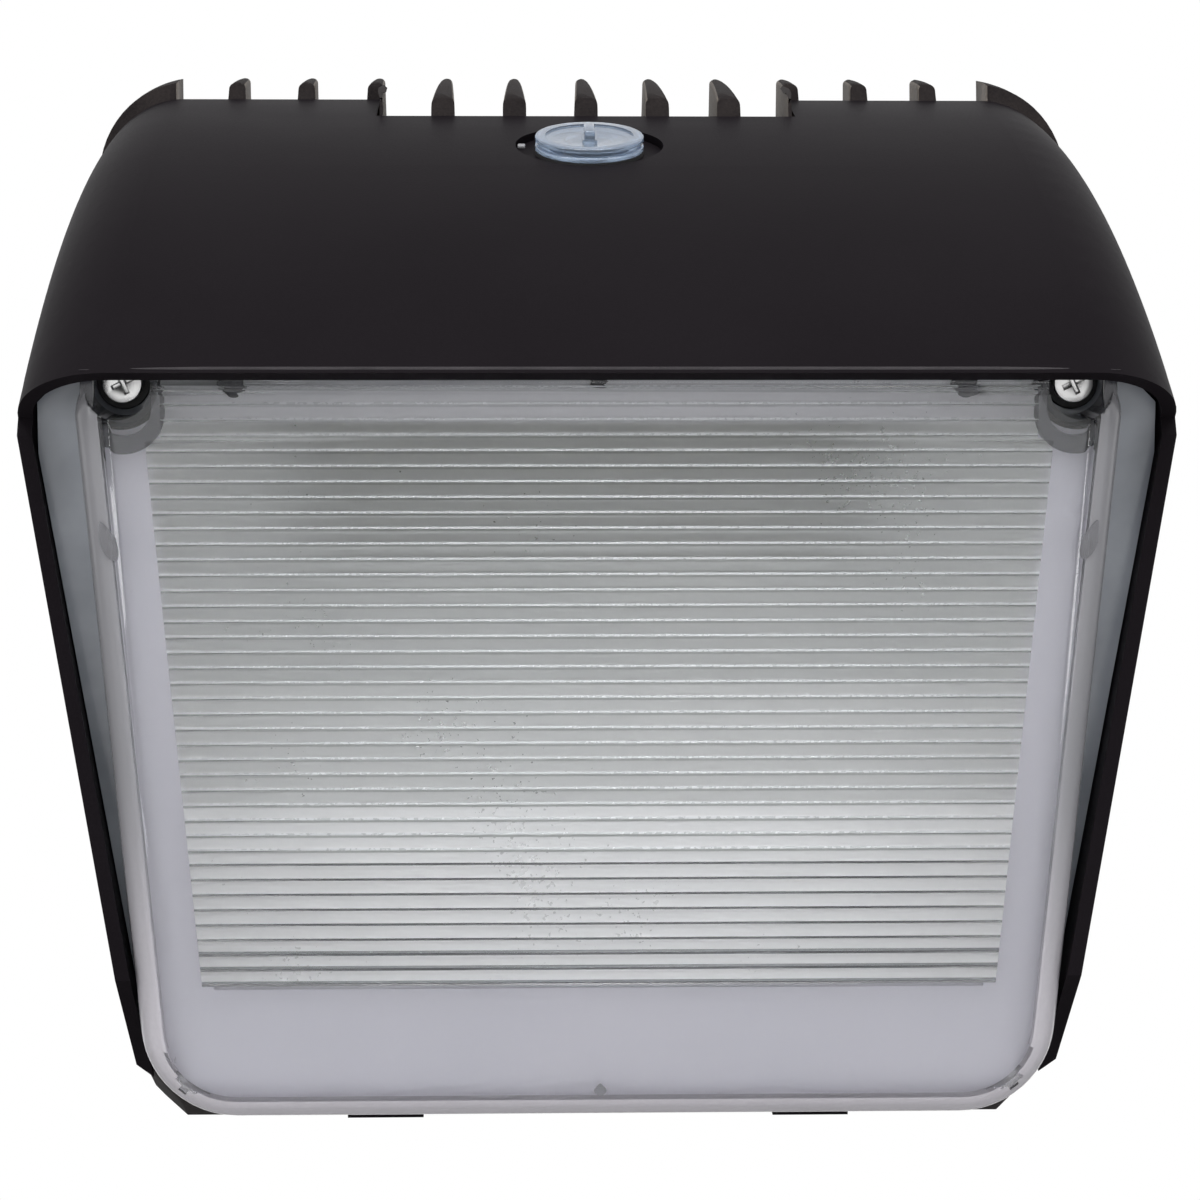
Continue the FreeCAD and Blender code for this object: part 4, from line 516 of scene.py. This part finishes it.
# name, place across, place up the lens, width and height in mm, and turn in radians
MARKS = (("lens_marks", -99.6, 121, 3.4, 8.5, 0.35), ("mark_right", 99.6, 121, 3.4, 8.5, -0.35),
         ("mark_foot", 0, 6.5, 2.6, 2.6, 0))
MARK_OUT, MARK_DEPTH, MARK_ROUND, MARK_TAPER = 17.95, 0.24, 0.08, 0.55
POST_DEPTH, POST_BEHIND = 3.0, 1.6          # mm, depth and centre behind the back of the face
WALL_DEPTH, WALL_BEHIND = 3.2, 1.8
MOULD_ROUND = 0.5 * MM
# radius, centre's height and squared top's height of the pocket's wall and of the space in it, in mm
POCKET_X = 96.5
POCKET_WALL, POCKET_SPACE = (8.6, 147.0, 155), (5.9, 148.0, 160)


def lens_post(name, x, up, radius):
    """A moulded post behind the lens that locates the reflector's frame, in clear plastic darkened as painted
    shade.
    """
    post = primitive("cylinder", name, vertices=32, radius=radius * MM, depth=POST_DEPTH * MM,
                     location=(x * MM, up * MM, FACE_BACK - POST_BEHIND * MM))
    soften(post, MOULD_ROUND)
    settle(post, LENS)
    return post


def pocket_wall(name, x):
    """The long U of the moulded wall around a screw pocket, behind the lens."""
    wall_radius, wall_up, wall_top = POCKET_WALL
    space_radius, space_up, space_top = POCKET_SPACE
    wall = primitive("cylinder", name, vertices=64, radius=wall_radius * MM, depth=WALL_DEPTH * MM,
                     location=(x * MM, wall_up * MM, FACE_BACK - WALL_BEHIND * MM))
    space = primitive("cylinder", "pocket_space", vertices=64, radius=space_radius * MM, depth=8 * MM,
                      location=(x * MM, space_up * MM, FACE_BACK))
    for piece, top in ((wall, wall_top), (space, space_top)):
        for vert in piece.data.vertices:
            if vert.co.y > space_up * MM:
                vert.co.y = top * MM
    combine(wall, "DIFFERENCE", space)
    soften(wall, MOULD_ROUND, angle=50)
    settle(wall, LENS)
    return wall


def lens_mark(name, x, up, wide, tall, turn):
    """A shallow moulding mark on the lens's front border, narrower at its upper end."""
    mark = primitive("cylinder", name, vertices=40, radius=1, depth=MARK_DEPTH * MM)
    for vert in mark.data.vertices:
        along = vert.co.y
        slim = 1 - MARK_TAPER * max(0.0, along)
        vert.co = (vert.co.x * wide / 2 * MM * slim, along * tall / 2 * MM, vert.co.z)
    soften(mark, MARK_ROUND * MM, 2)
    settle(mark, LENS @ Matrix.Translation((x * MM, up * MM, MARK_OUT * MM)) @ Matrix.Rotation(turn, 4, "Z"))
    return mark


posts = merge(*[lens_post(*row) for row in POSTS])
dress(posts, shaded_clear, "light", "clear_lens")
pockets = merge(pocket_wall("pocket_walls", -POCKET_X), pocket_wall("pocket_wall_right", POCKET_X))
dress(pockets, shaded_clear, "light", "clear_lens")
marks = merge(*[lens_mark(*row) for row in MARKS])
dress(marks, faint, "light", "clear_lens")

# ---- screws and washers ------------------------------------------------------------------

LENS_SCREW_X, LENS_SCREW_UP = 97.38, 152.24                     # mm, in the lens's own axes
CROSS_LENGTH, CROSS_WIDTH, CROSS_DEPTH, CROSS_TURN = 4.6, 0.9, 2.6, math.radians(25)
LATCH_X, LATCH_Y, LATCH_Z = 113.4, -17, 30                      # mm, outer ends of the latch screws' heads
SOCKET_RADIUS, SOCKET_DEPTH = 2.5, 4.4
HEAD_ROUND, WASHER_ROUND = 0.22 * MM, 0.4 * MM


def recess(piece, tools):
    """Sinks driving recesses into screw heads and rounds the heads' edges."""
    for tool in tools:
        combine(piece, "DIFFERENCE", tool)
    soften(piece, HEAD_ROUND, angle=50)
    return piece


def make_lens_screws():
    """The two cross-head screws in the upper corners of the lens."""
    screws = copy_of("lens_screws", "lens_corner_screws")
    top = max((LENS.inverted() @ vert.co).z for vert in screws.data.vertices)
    blades = []
    for x in (-LENS_SCREW_X, LENS_SCREW_X):
        for wide, tall in ((CROSS_LENGTH, CROSS_WIDTH), (CROSS_WIDTH, CROSS_LENGTH)):
            blade = primitive("cube", "blade", size=1, scale=(wide * MM, tall * MM, CROSS_DEPTH * MM))
            settle(blade, LENS @ Matrix.Translation((x * MM, LENS_SCREW_UP * MM, top))
                   @ Matrix.Rotation(CROSS_TURN, 4, "Z"))
            blades.append(blade)
    return recess(screws, blades)


def make_latch_screws():
    """The two hexagon socket screws in the sides of the hood."""
    screws = copy_of("latch_screws", "latch_socket_screws")
    sockets = []
    for way in (-1, 1):
        tool = primitive("cylinder", "socket", vertices=6, radius=SOCKET_RADIUS * MM, depth=SOCKET_DEPTH * MM)
        settle(tool, Matrix.Translation(Vector((way * LATCH_X, LATCH_Y, LATCH_Z)) * MM)
               @ Matrix.Rotation(math.radians(90), 4, "Y"))
        sockets.append(tool)
    return recess(screws, sockets)


dress(make_lens_screws(), steel, "light", "steel", "lens_screws")
dress(make_latch_screws(), steel, "light", "steel", "latch_screws")
washers = copy_of("lens_washers", "lens_rubber_washers")
soften(washers, WASHER_ROUND, angle=50)
dress(washers, rubber, "light", "black_rubber", "lens_washers")

# ---- castings ----------------------------------------------------------------------------

CROWN_Y, CROWN_Z, CROWN_RADIUS = 205.4, -129.0, 400.0       # mm, arc of the hood's crown
BEAD_RADIUS, BEAD_HALF, BEAD_SINK = 0.62, 104, 0.35         # mm, bead along the lip's lower edge
BEAD_ANGLE = math.radians(30.22)                            # place of the lip on the crown's arc
BEAD_TAPER, BEAD_THINNING = 0.2, 0.9                        # share of each half that thins out, and how much
SHARP = math.radians(35)
FIN_REACH = 2.4             # mm, only the fins reach further than this outside the crown's arc
FIN_ROUND = 1.2             # mm, rounding of the fins' tips
END_FINS_X = 100            # mm, the end fins outside this keep their edges
FIN_FOOT_Z, FIN_SIDE_X = 20, 106    # mm, the sides of the fins, given a lighter colour, are above and between these


def make_lip_bead():
    """The rounded lower edge of the hood's lip, a low bead that thins out towards the corners."""
    bead = primitive("cylinder", "lip_bead", vertices=24, radius=BEAD_RADIUS * MM, depth=2 * BEAD_HALF * MM)
    settle(bead, Matrix.Rotation(math.radians(90), 4, "Y"))
    pick(bead, "edges", lambda edge: abs(edge.verts[0].co.x - edge.verts[1].co.x) > 1 * MM)
    bpy.ops.mesh.subdivide(number_cuts=24)
    done()
    for vert in bead.data.vertices:
        taper = max(0.0, abs(vert.co.x) / (BEAD_HALF * MM) - (1 - BEAD_TAPER)) / BEAD_TAPER
        vert.co.y *= 1 - BEAD_THINNING * taper
        vert.co.z *= 1 - BEAD_THINNING * taper
    reach = CROWN_RADIUS - BEAD_SINK
    height = CROWN_Z + reach * math.sin(BEAD_ANGLE)
    depth = CROWN_Y - reach * math.cos(BEAD_ANGLE)
    settle(bead, Matrix.Translation(Vector((0, depth, height)) * MM))
    smooth(bead, 40)
    return bead


def is_fin_tip(edge):
    """Whether an edge is an outward one at the tip of a fin between the two end fins."""
    if len(edge.link_faces) != 2 or not edge.is_convex or edge.calc_face_angle() <= SHARP:
        return False
    along = (edge.verts[1].co - edge.verts[0].co).normalized()
    spots = [vert.co / MM for vert in edge.verts]
    return abs(along.x) < 0.5 and all(
        math.hypot(spot.y - CROWN_Y, spot.z - CROWN_Z) > CROWN_RADIUS + FIN_REACH
        and abs(spot.x) < END_FINS_X for spot in spots)


def make_housing():
    """The rear casting with the tips of its fins rounded."""
    housing = copy_of("housing", "finned_housing", flatten=False)
    pick(housing, "edges", is_fin_tip)
    bpy.ops.mesh.bevel(offset=FIN_ROUND * MM, segments=4, affect="EDGES", clamp_overlap=False)
    done()
    smooth(housing, 35)
    return housing


def is_fin_side(spot, normal):
    """Whether a face is on the side of a fin."""
    return abs(normal.x) > 0.8 and spot.z > FIN_FOOT_Z and abs(spot.x) < FIN_SIDE_X


# the bead's lighter colour is a painted highlight
dress(make_lip_bead(), bronze_highlight, "light", "bronze_coat")
housing = make_housing()
dress(housing, bronze_fins, "light", "bronze_coat", "housing")
face_finish(housing, fin_side, is_fin_side, Matrix.Identity(4))

# ---- photocell: Z stands out of the crown --------------------------------------------------

PHOTOCELL = (Matrix.Translation(Vector((0, -70, 161.085)) * MM)
             @ Matrix.Rotation(math.radians(43.51), 4, "X"))
INDEX_SIZE, INDEX_PLACE = (1.7, 1.9, 0.7), (-15.6, -1.2, -0.05)
# radius, lower and upper level and rounding of the cap's discs, in mm
FLANGE = (12.5, -1.1, 0.1, 0.3)
NECK = (11.3, -1.0, 1.2, 0.05)
CAP = (12.5, 1.0, 2.2, 0.4)
SPIGOT = (6.0, -5.5, 0, 0.3)
WELL = (10.2, 1.75, 3.0, 0.05)
GRIP_SIZE, GRIP_ROOM = (2.4, 8, 3), (3.4, 9.0, 4)
GRIP_PLACE = (0, 0, 2.7 * MM)


def photocell_disc(name, radius, low, high, edge):
    """A round-edged disc on the cap's axis."""
    disc = primitive("cylinder", name, vertices=96, radius=radius * MM, depth=(high - low) * MM,
                     location=(0, 0, (low + high) / 2 * MM))
    soften(disc, edge * MM, 4, 50)
    return disc


def make_index():
    """The small index mark on the crown beside the cap."""
    index = primitive("cube", "photocell_index", size=1, scale=Vector(INDEX_SIZE) * MM)
    soften(index, 0.2 * MM)
    settle(index, PHOTOCELL @ Matrix.Translation(Vector(INDEX_PLACE) * MM))
    return index


def make_window():
    """The turning cap with its two rims, its well and the grip across it."""
    disc = photocell_disc("photocell_clear_window", *FLANGE)
    parts = [photocell_disc("neck", *NECK), photocell_disc("rim", *CAP), photocell_disc("spigot", *SPIGOT)]
    grip = primitive("cube", "grip", size=1, scale=Vector(GRIP_SIZE) * MM, location=GRIP_PLACE)
    soften(grip, 0.55 * MM, 4)
    for part in parts + [grip]:
        combine(disc, "UNION", part)
    well = photocell_disc("well", *WELL)
    keep = primitive("cube", "keep", size=1, scale=Vector(GRIP_ROOM) * MM, location=GRIP_PLACE)
    combine(well, "DIFFERENCE", keep)
    combine(disc, "DIFFERENCE", well)
    settle(disc, PHOTOCELL)
    smooth(disc, 30)
    return disc


dress(make_index(), silicone, "light", "bronze_coat")
dress(make_window(), window, "photocell_cap", "clear_window", "photocell_window")

# ---- camera ------------------------------------------------------------------------------

LOOK_UP, LOOK_RIGHT, ROLL = math.radians(20.56), math.atan(0.02853), math.radians(-0.13)
CAMERA_PLACE = (-18.75, -721.4, -195.0)     # mm

scene = bpy.context.scene
scene.view_settings.view_transform = "Standard"
camera_data = bpy.data.cameras.new("camera")
camera_data.sensor_width = 36
camera_data.lens = 96
camera = bpy.data.objects.new("camera", camera_data)
turn = (Matrix.Rotation(math.pi / 2 + LOOK_UP, 4, "X") @ Matrix.Rotation(-LOOK_RIGHT, 4, "Y")
        @ Matrix.Rotation(ROLL, 4, "Z"))
camera.matrix_world = Matrix.Translation(Vector(CAMERA_PLACE) * MM) @ turn
scene.collection.objects.link(camera)
scene.camera = camera

# ---- lamps and world ---------------------------------------------------------------------


def soft_light(name, spot, target, wide, power):
    """A rectangular lamp that faces a target, in metres and watts."""
    data = bpy.data.lights.new(name, "AREA")
    data.shape = "RECTANGLE"
    data.size, data.size_y = wide
    data.energy = power
    lamp = bpy.data.objects.new(name, data)
    lamp.location = spot
    lamp.rotation_euler = (Vector(target) - Vector(spot)).to_track_quat("-Z", "Y").to_euler()
    scene.collection.objects.link(lamp)


soft_light("soft_above", (0, -1.5, 1.15), (0, -0.07, 0.05), (2.0, 0.9), 46)
soft_light("soft_left", (-1.5, -1.2, 0.15), (0, -0.05, 0.03), (0.9, 1.3), 11)
soft_light("soft_right", (1.5, -1.2, 0.15), (0, -0.05, 0.03), (0.9, 1.3), 9)

# the world is white where it is seen straight, mirrored or through glass, and dimmer where it lights
SEEN_LEVEL, LIGHTING_LEVEL = 1.0, 0.30
world = bpy.data.worlds.new("studio")
scene.world = world
world.use_nodes = True
world_tree = world.node_tree
back = world_tree.nodes["Background"]
back.inputs["Color"].default_value = (1, 1, 1, 1)
paths = world_tree.nodes.new("ShaderNodeLightPath")


def world_math(operation, first, second):
    """A math node of the world, fed by sockets or plain numbers."""
    node = world_tree.nodes.new("ShaderNodeMath")
    node.operation = operation
    for number, value in enumerate((first, second)):
        if isinstance(value, (int, float)):
            node.inputs[number].default_value = value
        else:
            world_tree.links.new(value, node.inputs[number])
    return node.outputs[0]


direct = world_math("LESS_THAN", paths.outputs["Diffuse Depth"], 0.5)
seen = world_math("MAXIMUM", paths.outputs["Is Camera Ray"], paths.outputs["Is Glossy Ray"])
seen = world_math("MAXIMUM", seen, paths.outputs["Is Transmission Ray"])
seen = world_math("MULTIPLY", seen, direct)
level = world_tree.nodes.new("ShaderNodeMapRange")
level.inputs["To Min"].default_value = LIGHTING_LEVEL
level.inputs["To Max"].default_value = SEEN_LEVEL
world_tree.links.new(seen, level.inputs["Value"])
world_tree.links.new(level.outputs["Result"], back.inputs["Strength"])

# ---- floor -------------------------------------------------------------------------------

FLOOR_SIZE, FLOOR_Z = 30, -0.5      # metres
FLOOR_GLOW = 0.5                    # lifts the floor towards white where the camera sees it

bpy.ops.object.select_all(action="DESELECT")
bpy.ops.mesh.primitive_plane_add(size=FLOOR_SIZE, location=(0, 0, FLOOR_Z))
floor = bpy.context.object
floor.name = "floor"
pale_floor = material("pale_floor", (0.80, 0.80, 0.80), (0.84, 0.84, 0.84), 0.7, 0.1, fine=200.0, cloud=3.0)
floor.data.materials.append(pale_floor)
floor_tree = pale_floor.node_tree
floor_shader = floor_tree.nodes["Principled BSDF"]
glow = floor_tree.nodes.new("ShaderNodeMath")
glow.operation = "MULTIPLY"
glow.inputs[1].default_value = FLOOR_GLOW
floor_paths = floor_tree.nodes.new("ShaderNodeLightPath")
floor_tree.links.new(floor_paths.outputs["Is Camera Ray"], glow.inputs[0])
floor_tree.links.new(glow.outputs[0], floor_shader.inputs["Emission Strength"])
floor_shader.inputs["Emission Color"].default_value = (1, 1, 1, 1)

bpy.context.view_layer.update()
